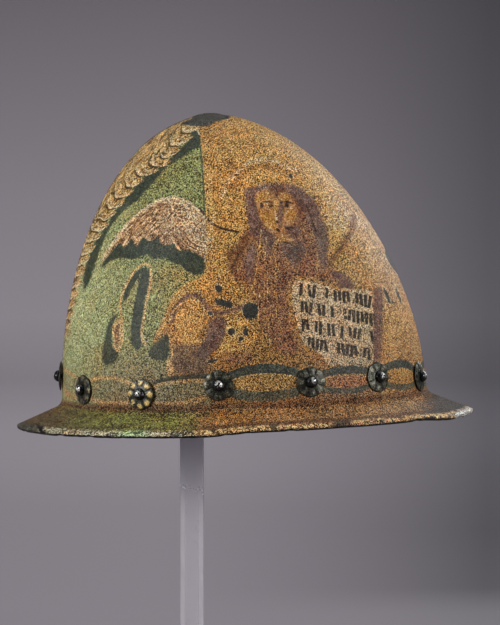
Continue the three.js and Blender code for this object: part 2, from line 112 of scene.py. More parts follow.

# Chart of the painted side, drawn as outlines in pixels of the 500 by 625 photograph
AREAS = {
    "shade": [
        [(199, 131), (200, 146), (192, 150), (182, 157), (168, 166), (159, 176), (146, 191), (138, 200),
         (126, 209), (117, 218), (109, 230), (100, 250), (90, 280), (84, 290), (84, 272), (92, 248),
         (100, 234), (109, 222), (112, 214), (122, 203), (132, 190), (144, 177), (154, 171), (166, 164),
         (177, 151), (188, 142), (191, 134), (194, 130)],
        [(101, 267), (106, 258), (112, 250), (119, 242), (128, 238), (142, 236), (160, 236), (176, 240),
         (190, 249), (204, 255), (206, 264), (204, 271), (197, 275), (190, 273), (184, 269), (180, 265),
         (172, 263), (167, 258), (160, 258), (154, 259), (148, 255), (145, 255), (134, 259), (123, 258),
         (113, 260), (105, 266)],
        [(145.5, 267.5), (149.6, 273), (148.6, 284), (145, 299), (143, 315), (140.8, 332), (142, 345),
         (136, 350), (131, 341), (131, 325), (133.6, 308), (136.5, 292), (139.5, 279), (142, 270)],
        [(144, 267), (136, 271.5), (129.5, 280), (124.8, 290), (122.6, 301), (126.5, 299), (131, 290),
         (136.5, 281), (141, 273)],
        [(117.6, 313), (110.7, 319), (107, 327), (105, 338), (102.6, 350), (102.6, 362), (107, 365),
         (115, 362), (118.7, 352), (113, 347), (111.8, 338), (112.4, 327)],
        [(168, 335), (159, 340), (152, 346), (149.7, 354), (154, 359), (163.5, 361), (168, 357), (169, 347)],
        [(152, 384), (160, 379), (172, 376), (190, 374), (207, 372), (207, 381), (190, 383), (172, 384),
         (160, 386)],
    ],
    "haunch": [
        [(210, 279.5), (197, 280), (188, 283), (180, 288), (173, 296), (167.5, 306), (164, 316), (160, 326),
         (155, 336), (153.5, 342), (158, 341.5), (163, 337), (168.4, 333), (169.6, 342), (171, 352),
         (170, 361), (166.5, 368), (166, 374.5), (173, 376.5), (190, 377), (210, 379)],
    ],
    "arch": [
        [(208, 279.5), (197, 280), (188, 283), (180, 288), (173, 296), (167.5, 306), (164, 316), (160, 326),
         (155, 336), (158, 338.5), (163, 333), (168, 320), (173, 308), (180, 298), (190, 291), (208, 288)],
    ],
    "streaks": [
        [(207, 262), (222, 258), (234, 268), (238, 290), (236, 302), (222, 300), (208, 296)],
        [(212, 178), (226, 170), (240, 176), (246, 190), (240, 206), (226, 216), (214, 206)],
        [(207, 232), (220, 226), (230, 240), (226, 256), (208, 258)],
    ],
    "hair": [
        [(256, 226), (268, 229), (276, 242), (280, 262), (279, 290), (281, 330), (270, 346), (256, 334),
         (250, 300), (249, 270), (253, 250)],
    ],
    "wing": [
        [(101, 261), (105, 253), (110.5, 244), (118, 233.5), (129, 220.5), (144.8, 207), (158, 199.3),
         (171.6, 196.2), (180.5, 197.6), (189.5, 201), (197, 207), (201.5, 213), (205.5, 222),
         (206, 240), (204.5, 257), (199, 255.5), (192.8, 251.7), (185, 249.5), (179, 250.5), (175.4, 247),
         (175, 243), (168.3, 245), (162, 244.5), (158, 238), (152, 240.5), (147, 239.8), (142.6, 237.6),
         (136, 246), (131.4, 238.6), (124.4, 247.5), (119.5, 243), (112, 251), (105, 259)],
    ],
    "brown": [
        [(230.3, 271), (229, 262), (232, 252), (239, 243), (246, 234), (250, 226), (247.5, 214), (246, 202),
         (245, 192.5), (250, 188), (255.5, 186.5), (262, 184.5), (270, 183.3), (285, 184.2), (297, 186.7),
         (306, 192.5), (314, 199.4), (318.7, 208.5), (322, 219), (326.7, 228), (328, 238.4), (327, 251),
         (328, 262), (336, 271), (336, 283), (322, 281), (306, 277), (294, 281), (288, 300), (293, 330),
         (299, 350), (280, 352), (262, 330), (252, 300), (246, 284), (236, 281)],
        [(226, 356), (238, 353), (250, 354), (252, 360), (240, 364), (228, 362)],
    ],
    "deep": [
        [(286, 184.4), (297, 186.7), (306, 192.5), (314, 199.4), (318.7, 208.5), (322, 219), (326.7, 228),
         (328, 238.4), (327, 251), (328, 262), (325, 270), (320, 262), (317.5, 246), (315, 237.5),
         (311, 229), (307, 221), (304, 213), (301, 205), (296.5, 198), (290, 193)],
        [(245.2, 192.5), (250, 188), (256, 186.8), (268, 184.5), (284, 184.6), (284, 188.5), (270, 188.5),
         (258, 191), (252, 196), (247, 198)],
        [(246, 189), (252, 187.5), (256.5, 191), (254, 196), (256, 205), (259, 214), (260, 223),
         (263, 230), (259, 236), (252, 236), (249, 226), (247.5, 212), (246, 199)],
        [(278.5, 244), (291, 243), (303.7, 244), (305, 253), (300.3, 262), (294, 266), (288, 258)],
        [(247, 252), (246.5, 270), (248, 282), (252.5, 281), (254, 266), (256, 246), (252, 244)],
        [(332, 272), (341, 272), (348, 276.5), (352.5, 282), (354.3, 288.5), (340, 288), (337, 280)],
        [(225, 318), (211, 319), (207, 332), (202.5, 343), (197, 350), (193, 356), (203, 360), (214, 352),
         (221, 343), (225.5, 332)],
        [(374, 292), (382.5, 292), (382.5, 330), (380.5, 362), (372.5, 363), (373.5, 330)],
        [(284, 226), (292, 225.5), (300, 227.5), (300, 234), (295, 239), (289, 236), (286.5, 230)],
        [(279.6, 203), (282.6, 203), (283.6, 211), (282.6, 220), (281.4, 226), (279.2, 227), (278.6, 219),
         (278.8, 210)],
        [(263, 229), (270, 231.5), (275, 236), (274, 246), (270, 256), (264, 250), (262, 240)],
    ],
    "mane": [
        [(252, 232), (245, 236), (238, 245), (231.4, 254), (228.5, 262), (231, 271), (237, 268), (243, 259),
         (249, 248), (255, 240), (258, 232)],
        [(226, 252), (233, 246), (240, 238), (246, 230), (250, 232), (243, 244), (236, 254), (230, 262)],
    ],
    "face": [
        [(257, 193), (264, 189.5), (272, 189.5), (281, 190), (290, 192.5), (296, 199), (300, 206),
         (303, 216), (301, 226), (294, 236), (286, 241), (276, 240), (268, 232), (262, 222), (258, 212),
         (255.5, 202)],
    ],
    "light": [
        [(255, 200), (258, 195.5), (262, 193), (268, 193.5), (271, 198), (265, 199.5), (259, 201.5),
         (256, 204)],
        [(258.3, 209), (265, 210.5), (272, 209), (274, 204), (275, 200), (277.5, 203), (277.8, 212),
         (276.8, 220), (275.6, 231), (270, 229), (265, 224), (260.3, 218)],
        [(285, 210.5), (292, 210), (296, 213), (294, 219), (288, 220), (285, 216)],
        [(282, 195), (287, 194.5), (290, 197.5), (286.5, 200.5), (282, 199)],
        [(274, 236.5), (281, 238.5), (290, 237.5), (294.5, 239), (292, 242), (283, 242), (276, 243)],
    ],
    "dusk": [
        [(268, 188), (276, 187), (284, 186), (290, 190), (292, 195), (288, 193), (281, 193), (277, 197),
         (272, 195), (269, 191)],
        [(292, 198), (299, 198), (304, 206), (304, 218), (300, 228), (293, 226), (297, 216), (297, 207)],
    ],
    "olive": [
        [(172, 347), (182, 344), (196, 346), (208, 349), (208, 372), (198, 374), (180, 374), (172, 368)],
        [(289, 242), (302, 243), (303.5, 252), (299, 262), (292, 259), (288, 250)],
        [(320, 222), (326, 230), (327.6, 244), (325, 258), (318, 256), (318, 240)],
    ],
    "glow": [
        [(171, 324), (175, 313), (184, 305), (194, 301), (201, 305), (203, 315), (201, 328), (198, 340),
         (192, 351), (183, 360), (176, 362), (172, 350), (171, 336)],
        [(214, 320), (228, 316), (250, 322), (256, 340), (240, 350), (224, 352), (214, 356), (222, 340)],
    ],
    "page": [
        [(292.4, 288), (296.6, 280), (307.4, 281), (323, 284.5), (337, 290), (339.5, 293), (339.5, 323),
         (338.5, 340), (337, 364.5), (327, 363.5), (322, 355.4), (315, 350), (305.7, 345), (300.7, 335.5),
         (296, 319), (293, 302)],
        [(340.5, 290.7), (354.6, 290.7), (367.9, 289.9), (373, 293.2), (372.3, 315), (372, 340),
         (371.2, 364.5), (338.5, 364.5), (339.5, 330)],
    ],
    "loss": [
        [(243, 308), (246, 304), (250, 302.5), (257, 305), (257.8, 312), (254.5, 318.5), (248, 319),
         (243.5, 315)],
        [(245.6, 325.5), (248.6, 335), (242.8, 333.5)],
        [(382.6, 287), (385.6, 289.6), (389, 296), (390.6, 303.4), (388, 302), (385, 294.6)],
        [(395.4, 287), (398, 291), (400.8, 298), (400.8, 303.4), (398.8, 299.4), (396.4, 292.6)],
        [(385, 249), (389, 252), (395, 262), (400, 273), (397, 273), (391, 266), (386, 256.5)],
    ],
    "tuft": [
        [(118.7, 318), (113.5, 324), (112, 331), (113.6, 339), (113, 347), (118.7, 352), (122.7, 341),
         (123.3, 329)],
        [(167.5, 360), (172.3, 362), (174, 374.5), (166, 374)],
    ],
    "tuft_core": [
        [(116.5, 326), (119, 324), (119.6, 334), (117, 345), (114.5, 340), (114.5, 332)],
    ],
    "wing_haze": [
        [(190, 208), (202, 214), (212, 222), (214, 236), (210, 252), (198, 250), (190, 236)],
        [(322, 204), (334, 200), (346, 208), (349, 222), (340, 230), (328, 226)],
    ],
    "text": [
        [(297, 281), (312, 283), (325, 286), (337, 291), (371, 292), (371, 361), (345, 361), (322, 353),
         (310, 346), (301, 330), (297, 304)],
    ],
    "stub": [
        [(181, 123.6), (186, 121), (191, 119), (196, 115.5), (200, 108), (240, 108), (231, 116),
         (228, 118.7), (221, 120.6), (215, 121.8), (211, 125), (204, 126.4), (193, 126), (187, 125)],
    ],
    "lens": [
        [(327, 381), (336, 376.5), (349, 374.8), (362, 376.4),
         (370, 380), (362, 386), (348, 389), (334, 387)],
    ],
}
LINES = {
    "gold": [
        (2.5, [(119.4, 350), (121.5, 338), (122.6, 327), (121, 314), (120.4, 304), (122, 295), (125.5, 286),
               (130.5, 277), (136, 269.5), (141, 265.2), (146.3, 263.8), (150.3, 267.4), (151.2, 275),
               (150, 286), (148, 295), (145.7, 305), (144, 318), (141.8, 331), (142.2, 339), (145.5, 345)]),
        (1.8, [(170, 320), (174, 310), (184, 302.5), (194, 299.5), (201, 303), (204, 312), (202, 323)]),
        (2.2, [(169.2, 334), (170.4, 343), (172, 354.8), (170.8, 362), (167, 369)]),
        (2.6, [(196, 341.5), (203.5, 340.5)]),
        (1.1, [(261.3, 229), (260, 242), (259, 253), (256.7, 267), (254.4, 279.7)]),
        (1.2, [(266.5, 238), (266, 247), (264.6, 256)]),
    ],
    "mane": [
        (5.6, [(352.6, 216), (354, 227), (348.5, 237.3), (342.8, 245.3), (337, 253.3), (329, 263)]),
    ],
    "deep": [
        (4.4, [(172, 320), (177, 306), (187, 296.5), (197, 296), (206, 305), (216, 313), (233, 310),
               (246, 306)]),
    ],
    "ink": [
        (2.4, [(200, 208.5), (205, 216), (211.5, 223), (219.6, 227.6), (228, 230), (239, 232)]),
        (1.7, [(260.5, 203), (265, 201.8), (272, 202.4)]),
        (1.9, [(280.4, 202.4), (286, 201.6), (293, 203.4)]),
        (1.6, [(269.4, 205.4), (273.4, 205.6)]),
        (1.4, [(268, 208.6), (271, 207.6)]),
        (2.2, [(275.6, 221.6), (278, 222)]),
        (2.4, [(276.8, 229.4), (279.4, 230.8)]),
        (2.0, [(285.8, 227.8), (291.5, 227.6)]),
        (1.3, [(277.5, 242.4), (284, 241.4), (288, 243.4)]),
        (1.5, [(306, 205), (311.5, 219), (316, 232)]),
        (1.3, [(271, 184.6), (277, 190), (276, 197)]),
        (1.2, [(232, 268), (238, 256), (247, 244)]),
    ],
    "halo": [
        (3.2, [(222, 196), (225, 190), (229, 182), (236, 173.5), (242, 167), (249.5, 162), (263, 159.5),
               (274, 161.5), (282.5, 165), (290.5, 168.5), (300, 171)]),
    ],
    "under_halo": [
        (5.0, [(219, 204), (222, 196), (228, 188), (236, 180)]),
        (6.0, [(228, 192), (233, 184), (239, 177), (246, 171), (254, 167.5), (266, 166), (276, 168),
               (286, 172)]),
    ],
    "cream": [
        (1.3, [(275.2, 204), (274.8, 208)]),
        (1.3, [(275.6, 211.4), (276.6, 219)]),
        (1.4, [(286, 210.5), (287.4, 214)]),
        (1.2, [(266, 199.6), (269.5, 198.8), (271.5, 197)]),
        (1.3, [(275, 237), (279, 240), (276.5, 242.5)]),
        (1.3, [(281.5, 240.4), (286, 239), (293.6, 240.4)]),
        (1.1, [(283, 226.5), (284.6, 231)]),
        (1.1, [(269.5, 227.5), (273.5, 230.5)]),
        (1.3, [(355.4, 213), (359, 223.5), (355, 233), (349, 241)]),
        (1.2, [(323, 163), (335, 176), (347, 190), (359, 205), (372, 226)]),
        (1.7, [(186, 126.4), (193, 127), (197, 129.5), (199.5, 134)]),
        (1.5, [(372.6, 293), (372.4, 320), (371.6, 362)]),
        (1.4, [(340.4, 292), (340, 330), (338.4, 362)]),
        (1.0, [(205.5, 221), (205.8, 240), (204.8, 262)]),
    ],
    "loss": [
        (7.0, [(218.6, 302), (229.6, 304.6)]),
        (3.2, [(209.6, 361.6), (215.8, 360.2)]),
    ],
    "crack": [
        (3.0, [(38, 425.5), (40, 428), (41.5, 431), (44, 433)]),
        (2.0, [(40, 427.5), (43, 427)]),
    ],
}
SPOTS = {
    "ink": [(262, 205.8, 2.1), (287, 205.6, 2.2), (271.6, 206, 1.1), (288.4, 228.4, 1.6)],
    "cream": [(267.5, 206.8, 1.5), (290.6, 207.6, 1.5), (276.4, 218.4, 1.3), (282.5, 235.5, 1.2),
              (261.2, 230, 0.9), (266.2, 238, 1.2), (282, 252, 1.0), (271.5, 257.6, 0.9)],
    "loss": [(218.2, 278, 1.5), (218.7, 288.6, 3.7), (290.5, 176, 2.2), (210.3, 313.4, 2.3),
             (231.2, 331.8, 3.6), (241, 338.7, 2.2), (146.3, 340, 1.6), (326.2, 167, 1.5),
             (332.8, 173.2, 1.6), (339.4, 182, 1.4), (392.8, 302.3, 1.2)],
}
FIELD_EDGE = [(198.6, 100), (199.7, 133), (203, 165), (205.6, 219), (205, 262), (204, 285), (210, 330),
              (205, 372), (212, 400), (214, 450)]
WING_EDGE = [(98, 266), (105, 253), (110.5, 244), (118, 233.5), (129, 220.5), (144.8, 207), (158, 199.3),
             (171.6, 196.2), (180.5, 197.6), (189.5, 201), (197, 207), (201.5, 213), (206, 224)]
GARLAND_EDGE = [(202, 126), (192, 136), (177, 151), (166, 164.5), (154.6, 171.5), (144, 178), (132, 191),
                (122, 204), (112, 216), (108, 224), (100, 235), (94, 246), (83, 273), (74, 305), (66, 345)]
GARLAND_PITCH = (17.5, 9.5)
SCRIPT = {"left": 297, "top": 281.5, "row": 17.6, "slope": 0.18, "pitch": 8.6}
FIGURE_LAYERS = ("haunch", "arch", "streaks", "hair", "wing", "brown", "deep", "mane", "face", "light",
                 "dusk", "olive", "glow", "page", "text", "loss", "tuft", "tuft_core", "wing_haze", "lens",
                 "gold", "ink", "halo", "under_halo", "cream", "crack")
BRIM_CHANGE = 208
FAR = 30.0

# Tones of the paint, as sRGB: dark, middle and light specks
TONES = {
    "green": ((50, 54, 16), (98, 100, 50), (148, 150, 94)),
    "pale_lit_green": ((104, 106, 50), (150, 154, 98), (186, 190, 138)),
    "ochre": ((80, 42, 8), (146, 98, 40), (206, 160, 92)),
    "low_ochre": ((62, 36, 18), (112, 72, 38), (166, 122, 74)),
    "right_ochre": ((88, 54, 28), (134, 92, 54), (188, 146, 100)),
    "red_brown": ((64, 32, 10), (120, 70, 30), (182, 128, 70)),
    "shade": ((46, 52, 44), (62, 70, 60), (84, 90, 76)),
    "brown": ((62, 30, 24), (96, 55, 42), (142, 98, 76)),
    "deep": ((62, 42, 38), (101, 74, 67), (146, 116, 102)),
    "olive": ((62, 52, 44), (103, 84, 74), (136, 118, 102)),
    "face": ((114, 66, 36), (172, 116, 70), (216, 168, 114)),
    "glow": ((116, 62, 16), (170, 110, 44), (218, 170, 98)),
    "gold": ((116, 80, 38), (188, 142, 80), (230, 194, 134)),
    "wing": ((78, 46, 24), (152, 110, 68), (220, 184, 140)),
    "cream": ((150, 112, 66), (216, 184, 136), (236, 214, 176)),
    "halo": ((128, 86, 42), (200, 158, 98), (228, 198, 148)),
    "garland": ((44, 30, 12), (118, 86, 46), (190, 154, 98)),
    "page": ((100, 68, 38), (180, 146, 104), (228, 198, 156)),
    "writing": ((24, 24, 24), (40, 38, 36), (66, 58, 50)),
    "band": ((38, 48, 46), (56, 68, 64), (82, 94, 86)),
    "band_specks": ((44, 52, 46), (70, 82, 72), (116, 126, 108)),
    "fill": ((70, 66, 46), (114, 108, 80), (154, 146, 112)),
    "lens": ((96, 56, 38), (142, 88, 60), (190, 130, 88)),
    "amber": ((84, 50, 22), (146, 100, 52), (210, 166, 100)),
    "brim_rear": ((22, 16, 10), (56, 46, 28), (118, 108, 72)),
    "brim_front": ((32, 18, 10), (78, 48, 28), (158, 118, 78)),
    "brim_dark": ((40, 28, 22), (64, 44, 36), (100, 72, 56)),
    "rust": ((52, 20, 8), (110, 52, 22), (182, 120, 60)),
    "ink": ((46, 30, 26), (62, 44, 38), (86, 64, 52)),
    "loss": ((40, 40, 39), (57, 57, 55), (74, 74, 70)),
    "mane": ((66, 32, 26), (106, 64, 44), (152, 108, 76)),
    "brim_flecks": ((24, 20, 6), (62, 57, 24), (132, 130, 70)),
    "rim_rear": ((26, 24, 18), (84, 78, 60), (170, 162, 134)),
    "rim_green": ((50, 62, 40), (122, 144, 94), (188, 208, 154)),
    "rim_front": ((16, 12, 10), (136, 98, 58), (222, 188, 134)),
    "rim_red": ((34, 20, 16), (120, 70, 48), (196, 138, 104)),
    "steel": ((48, 50, 48), (64, 65, 62), (90, 90, 84)),
    "bright": ((50, 50, 50), (124, 124, 122), (196, 196, 192)),
    "nose": ((10, 10, 10), (22, 21, 20), (44, 44, 42)),
    "crescent": ((138, 98, 56), (218, 188, 140), (246, 226, 186)),
    "lining": ((36, 30, 26), (62, 50, 42), (96, 74, 56)),
}
BRASS_DARK = [(0.35, (18, 20, 17)), (0.5, (42, 43, 36)), (0.68, (84, 84, 70))]
BRASS_RUBBED = [(0.35, (46, 48, 40)), (0.52, (88, 88, 76)), (0.68, (160, 158, 142))]
BRASS_GOLD = [(0.35, (120, 84, 34)), (0.5, (206, 172, 92)), (0.66, (252, 230, 168))]
RIVET_DARK = [(0.35, (12, 13, 15)), (0.52, (34, 35, 38)), (0.68, (84, 84, 86))]
FELT_GREY = [(0.36, (66, 64, 68)), (0.64, (122, 119, 124))]
POST_SHADE = (0.1, 0.152)
ACRYLIC_TONES = [(0.3, (0.82, 0.80, 0.85, 1)), (0.7, (0.89, 0.87, 0.92, 1))]
SPECK_CONTRAST = 1.9
SPECK_MIDDLE = 0.55
VARNISH_HAZE = 0.013
# Tint over the painted glints and pits: darkened pits, the coat unchanged, painted highlights
GLINTS = [(0.0, (0.5, 0.46, 0.42, 1)), (0.5, (1, 1, 1, 1)), (1.0, (1.7, 1.66, 1.56, 1))]
WARM_DRIFT = [(0.36, (1.06, 0.92, 0.8, 1)), (0.5, (1, 1, 1, 1)), (0.62, (0.98, 1.04, 1.04, 1))]
HUE_DRIFT = [(0.32, (1.12, 0.96, 0.78, 1)), (0.5, (1, 1, 1, 1)), (0.68, (0.92, 1.03, 1.14, 1))]


# Shape of the skull, as in the part's source, on arrays of stages and turns
def spread(reach, roundness, share):
    return reach * np.maximum(0, 1 - share**roundness) ** (1 / roundness)


def section_point(middle, half_length, half_width, turn, height):
    """Points of a level section: two arcs that meet in a keel at the front and the back."""
    keel_turn = math.asin(KEEL / (1 + KEEL))
    side = np.where(turn <= math.pi, 1, -1)
    half_turn = np.where(side > 0, turn, 2 * math.pi - turn)
    angle = keel_turn + half_turn * (1 - 2 * keel_turn / math.pi)
    x = middle + half_length / math.cos(keel_turn) * np.cos(angle)
    y = side * np.maximum(0, half_width * ((1 + KEEL) * np.sin(angle) - KEEL))
    return np.stack(np.broadcast_arrays(x, y, height), -1)


def bowl_point(share, turn):
    level = np.cos(share * math.acos(FILLET_TOP / CROWN_HEIGHT))
    front = spread(SKULL_LENGTH / 2 + APEX_SETBACK, ROUNDNESS_FRONT, level)
    back = spread(SKULL_LENGTH / 2 - APEX_SETBACK, ROUNDNESS_BACK, level)
    middle = (front - back) / 2 - APEX_SETBACK
    half_width = spread(SKULL_WIDTH / 2, ROUNDNESS_SIDE, level)
    return section_point(middle, (front + back) / 2, half_width, turn, CROWN_HEIGHT * level)


def flared_point(outset, turn, height):
    half_length = SKULL_LENGTH / 2 + outset * (BRIM_LENGTH - SKULL_LENGTH) / 2
    half_width = SKULL_WIDTH / 2 + outset * (BRIM_WIDTH - SKULL_WIDTH) / 2
    return section_point(0, half_length, half_width, turn, height)


def outer_point(stage, turn):
    """Stage 0 to 1 is the bowl, 1 to 2 the fillet and 2 to 3 the flange."""
    width = (BRIM_LENGTH - SKULL_LENGTH) / 2
    turn = np.mod(turn, 2 * math.pi)
    bend = np.clip(stage - 1, 0, 1) * FILLET_TURN
    run = np.clip(stage - 2, 0, 1)
    fillet_outset = FILLET_RADIUS * (1 - np.cos(bend)) / width
    fillet_height = FILLET_TOP - FILLET_RADIUS * np.sin(bend)
    outset = fillet_outset + (1 - BEAD_RADIUS / width - fillet_outset) * run
    height = fillet_height + (-BRIM_DROP - fillet_height) * run
    bowl = bowl_point(np.clip(stage, 0, 1), turn)
    flared = flared_point(outset, turn, height)
    return np.where(np.asarray(stage <= 1)[..., None], bowl, flared)


def outer_frame(stage, turn):
    """The outward normal and the downward tangent of the outer face."""
    step = 0.004
    around = outer_point(stage, turn + step) - outer_point(stage, turn - step)
    down = outer_point(np.minimum(3, stage + step), turn) - outer_point(np.maximum(0, stage - step), turn)
    normal = np.cross(down, around)
    normal /= np.maximum(np.linalg.norm(normal, axis=-1, keepdims=True), 1e-12)
    down /= np.maximum(np.linalg.norm(down, axis=-1, keepdims=True), 1e-12)
    flat = np.asarray(stage < step)[..., None]
    return np.where(flat, (0.0, 0.0, 1.0), normal), down


def ripple(points, wavelength, seed, waves=14):
    """A smooth uneven value from 0 to 1 over space, from seeded plane waves."""
    random = np.random.default_rng(seed)
    total = np.zeros(points.shape[:-1])
    for _ in range(waves):
        direction = random.normal(size=3)
        direction /= np.linalg.norm(direction)
        length = wavelength * random.uniform(0.6, 1.6)
        total += np.cos(points @ direction * 2 * math.pi / length + random.uniform(0, 2 * math.pi))
    return np.clip(0.5 + total / (2.6 * math.sqrt(waves)), 0, 1)


def bent_up(stage, turn):
    """How far the brim is bent up towards its edge along the front of the painted side."""
    place = outer_point(np.full_like(turn, 3.0), turn)
    low, full = BRIM_BEND["from"]
    start = np.clip((place[:, 0] - low) / (full - low), 0, 1)
    full, low = BRIM_BEND["to"]
    end = np.clip((low - place[:, 0]) / (low - full), 0, 1)
    share = start**2 * (3 - 2 * start) * end**2 * (3 - 2 * end) * (place[:, 1] < 0)
    reach = np.clip((stage - 1.4) / 1.6, 0, 1)
    return np.stack([0 * share, 0 * share, BRIM_BEND["rise"] * share * reach**1.5], -1)


def hammered(stage, turn, depth):
    """A point at a depth below the outer face, with the plate's shallow dents."""
    place = outer_point(stage, turn)
    normal, _ = outer_frame(stage, turn)
    dent = DENT_DEPTH * ripple(place, 38 * MM, seed=11)
    return place - (depth + dent)[..., None] * normal + bent_up(stage, turn)


def edge_point(angle, turn):
    """A point of the turned edge, with its nicks."""
    stage = np.full_like(turn, 3.0)
    normal, down = outer_frame(stage, turn)
    place = outer_point(stage, turn)
    nick = NICK_DEPTH * np.maximum(0, ripple(place, 9 * MM, seed=5) - 0.62) / 0.38
    radius = (BEAD_RADIUS - nick)[..., None]
    dent = DENT_DEPTH * ripple(place, 38 * MM, seed=11)[..., None]
    place = place + bent_up(stage, turn)
    return place + normal * (radius * (math.cos(angle) - 1) - dent) + down * radius * math.sin(angle)


def raise_stalk(points, normals):
    """Lifts the points below the stalk's ellipsoid out to its surface."""
    along = STALK["along"]

    def fall(x):
        reach = SKULL_LENGTH / 2 + (APEX_SETBACK if x > 0 else -APEX_SETBACK)
        roundness = ROUNDNESS_FRONT if x > 0 else ROUNDNESS_BACK
        return CROWN_HEIGHT - spread(CROWN_HEIGHT, roundness, abs(x) / reach)

    lean = math.atan((fall(along + MM) - fall(along - MM)) / (2 * MM))
    centre = np.array((along - APEX_SETBACK, 0, CROWN_HEIGHT + STALK["above"] - fall(along)))
    turned = np.array(Matrix.Rotation(lean, 3, "Y"))
    radii = np.array(STALK["radii"])
    offset = (points - centre) @ turned / radii
    heading = normals @ turned / radii
    a = (heading**2).sum(-1)
    b = (offset * heading).sum(-1)
    c = (offset**2).sum(-1) - 1
    root = (-b + np.sqrt(np.maximum(0, b * b - a * c))) / a
    lift = np.where((c < 0) & (root > 0), root, 0)
    return points + normals * lift[..., None]


def ring_turns(columns):
    """Turns of a ring: a number of equal steps over the left half and another over the right."""
    left, right = columns
    return np.concatenate(
        [
            np.linspace(0, math.pi, left, endpoint=False),
            np.linspace(math.pi, 2 * math.pi, right, endpoint=False),
        ]
    )


def skin_rows():
    """The rings of the skull's closed skin from the apex round the edge to the inner apex."""
    shares = np.linspace(0, 1, 400)
    profile = bowl_point(shares, np.full_like(shares, 1.5 * math.pi))
    reach = np.concatenate([[0], np.cumsum(np.linalg.norm(np.diff(profile, axis=0), axis=1))])
    rows = []
    for distance in np.linspace(0, reach[-1], int(reach[-1] / SKIN_STEP) + 1)[1:]:
        share = np.interp(distance, reach, shares)
        round_turns = np.linspace(math.pi, 2 * math.pi, 60)
        ring = bowl_point(np.full_like(round_turns, share), round_turns)
        half_round = np.linalg.norm(np.diff(ring, axis=0), axis=1).sum()
        level = max(0, math.ceil(math.log2(half_round / (PAINTED_COLUMNS * SKIN_STEP * 1.04))))
        level = min(level, 3)
        rows.append(("outer", share, (PLAIN_COLUMNS * 2 ** min(level, 2), PAINTED_COLUMNS * 2**level)))
    brim = (PLAIN_COLUMNS * 4, PAINTED_COLUMNS * 4)
    lining = (PLAIN_COLUMNS * 4, PAINTED_COLUMNS * 2)
    counts = BRIM_ROWS
    rows += [("outer", 1 + i / counts["fillet"], brim) for i in range(1, counts["fillet"] + 1)]
    rows += [("outer", 2 + i / counts["flange"], brim) for i in range(1, counts["flange"])]
    rows += [("edge", BEAD_END * i / counts["edge"], brim) for i in range(counts["edge"] + 1)]
    inner = counts["inner_brim"]
    rows += [("inner", 2.75 - 1.5 * i / inner, brim if i == 0 else lining) for i in range(inner + 1)]
    bowl = counts["inner_bowl"]
    rows += [("inner", 1 - i / bowl, lining) for i in range(bowl)]
    return rows


def join_rings(upper, upper_columns, lower, lower_columns):
    """Faces between two rings, where one may have a whole multiple of the other's columns."""
    if sum(upper_columns) > sum(lower_columns):
        flipped = join_rings(lower, lower_columns, upper, upper_columns)
        return [face[::-1] for face in flipped]
    faces = []
    fine = 0
    for half in (0, 1):
        ratio = lower_columns[half] // upper_columns[half]
        start = 0 if half == 0 else upper_columns[0]
        for i in range(upper_columns[half]):
            a = upper[start + i]
            b = upper[(start + i + 1) % len(upper)]
            below = [lower[(fine + k) % len(lower)] for k in range(ratio + 1)]
            faces.append([a, *below, b])
            fine += ratio
    return faces


def skin_mesh():
    """Points, faces and the zone of each point of the skull's skin, in the helmet's own frame."""
    rows = skin_rows()
    apex = outer_point(np.zeros(1), np.zeros(1))
    points = [raise_stalk(apex, np.array([[0.0, 0.0, 1.0]]))]
    zones = [np.zeros(1)]
    turns = [np.zeros(1)]
    faces = []
    previous = None
    count = 1
    for kind, value, columns in rows:
        turn = ring_turns(columns)
        stage = np.full_like(turn, value)
        if kind == "outer":
            ring = hammered(stage, turn, 0)
            if value < 0.3:
                ring = raise_stalk(ring, outer_frame(stage, turn)[0])
        elif kind == "edge":
            ring = edge_point(value, turn)
        else:
            ring = hammered(stage, turn, PLATE)
        zone = {"outer": min(value, 1) if value <= 1 else value, "edge": 3 + value / BEAD_END, "inner": 5}
        indices = list(range(count, count + len(turn)))
        if previous is None:
            faces += [[0, a, b] for a, b in zip(indices, indices[1:] + indices[:1])]
        else:
            faces += join_rings(*previous, indices, columns)
        previous = (indices, columns)
        points.append(ring)
        zones.append(np.full(len(turn), float(zone[kind])))
        turns.append(turn)
        count += len(turn)
    points.append(outer_point(np.zeros(1), np.zeros(1)) - (0, 0, PLATE))
    zones.append(np.full(1, 5.0))
    turns.append(np.zeros(1))
    ring = previous[0]
    faces += [[count, b, a] for a, b in zip(ring, ring[1:] + ring[:1])]
    return np.concatenate(points), faces, np.concatenate(zones), np.concatenate(turns)


def place_helmet():
    """The matrix from the helmet's own frame to the row frame, from the skull's CAD box."""
    low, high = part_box("skull")
    tilt = Matrix.Rotation(-HELMET_TILT, 4, "Y")
    turn = ring_turns((180, 180))
    edge = np.concatenate([edge_ideal(angle, turn) for angle in np.linspace(0, BEAD_END, 13)])
    tilted = edge @ np.array(tilt.to_3x3()).T
    x = (low.x + high.x) / 2 - (tilted[:, 0].min() + tilted[:, 0].max()) / 2
    return Matrix.Translation((x, 0, low.z - tilted[:, 2].min())) @ tilt


def edge_ideal(angle, turn):
    stage = np.full_like(turn, 3.0)
    normal, down = outer_frame(stage, turn)
    place = outer_point(stage, turn)
    return place + normal * BEAD_RADIUS * (math.cos(angle) - 1) + down * BEAD_RADIUS * math.sin(angle)


# The chart's fields on the skin: distances to painted shapes, in millimetres
def camera_place():
    away = Vector((0, -math.cos(CAMERA_ELEVATION), math.sin(CAMERA_ELEVATION)))
    return CAMERA_AIM + away * CAMERA_DISTANCE


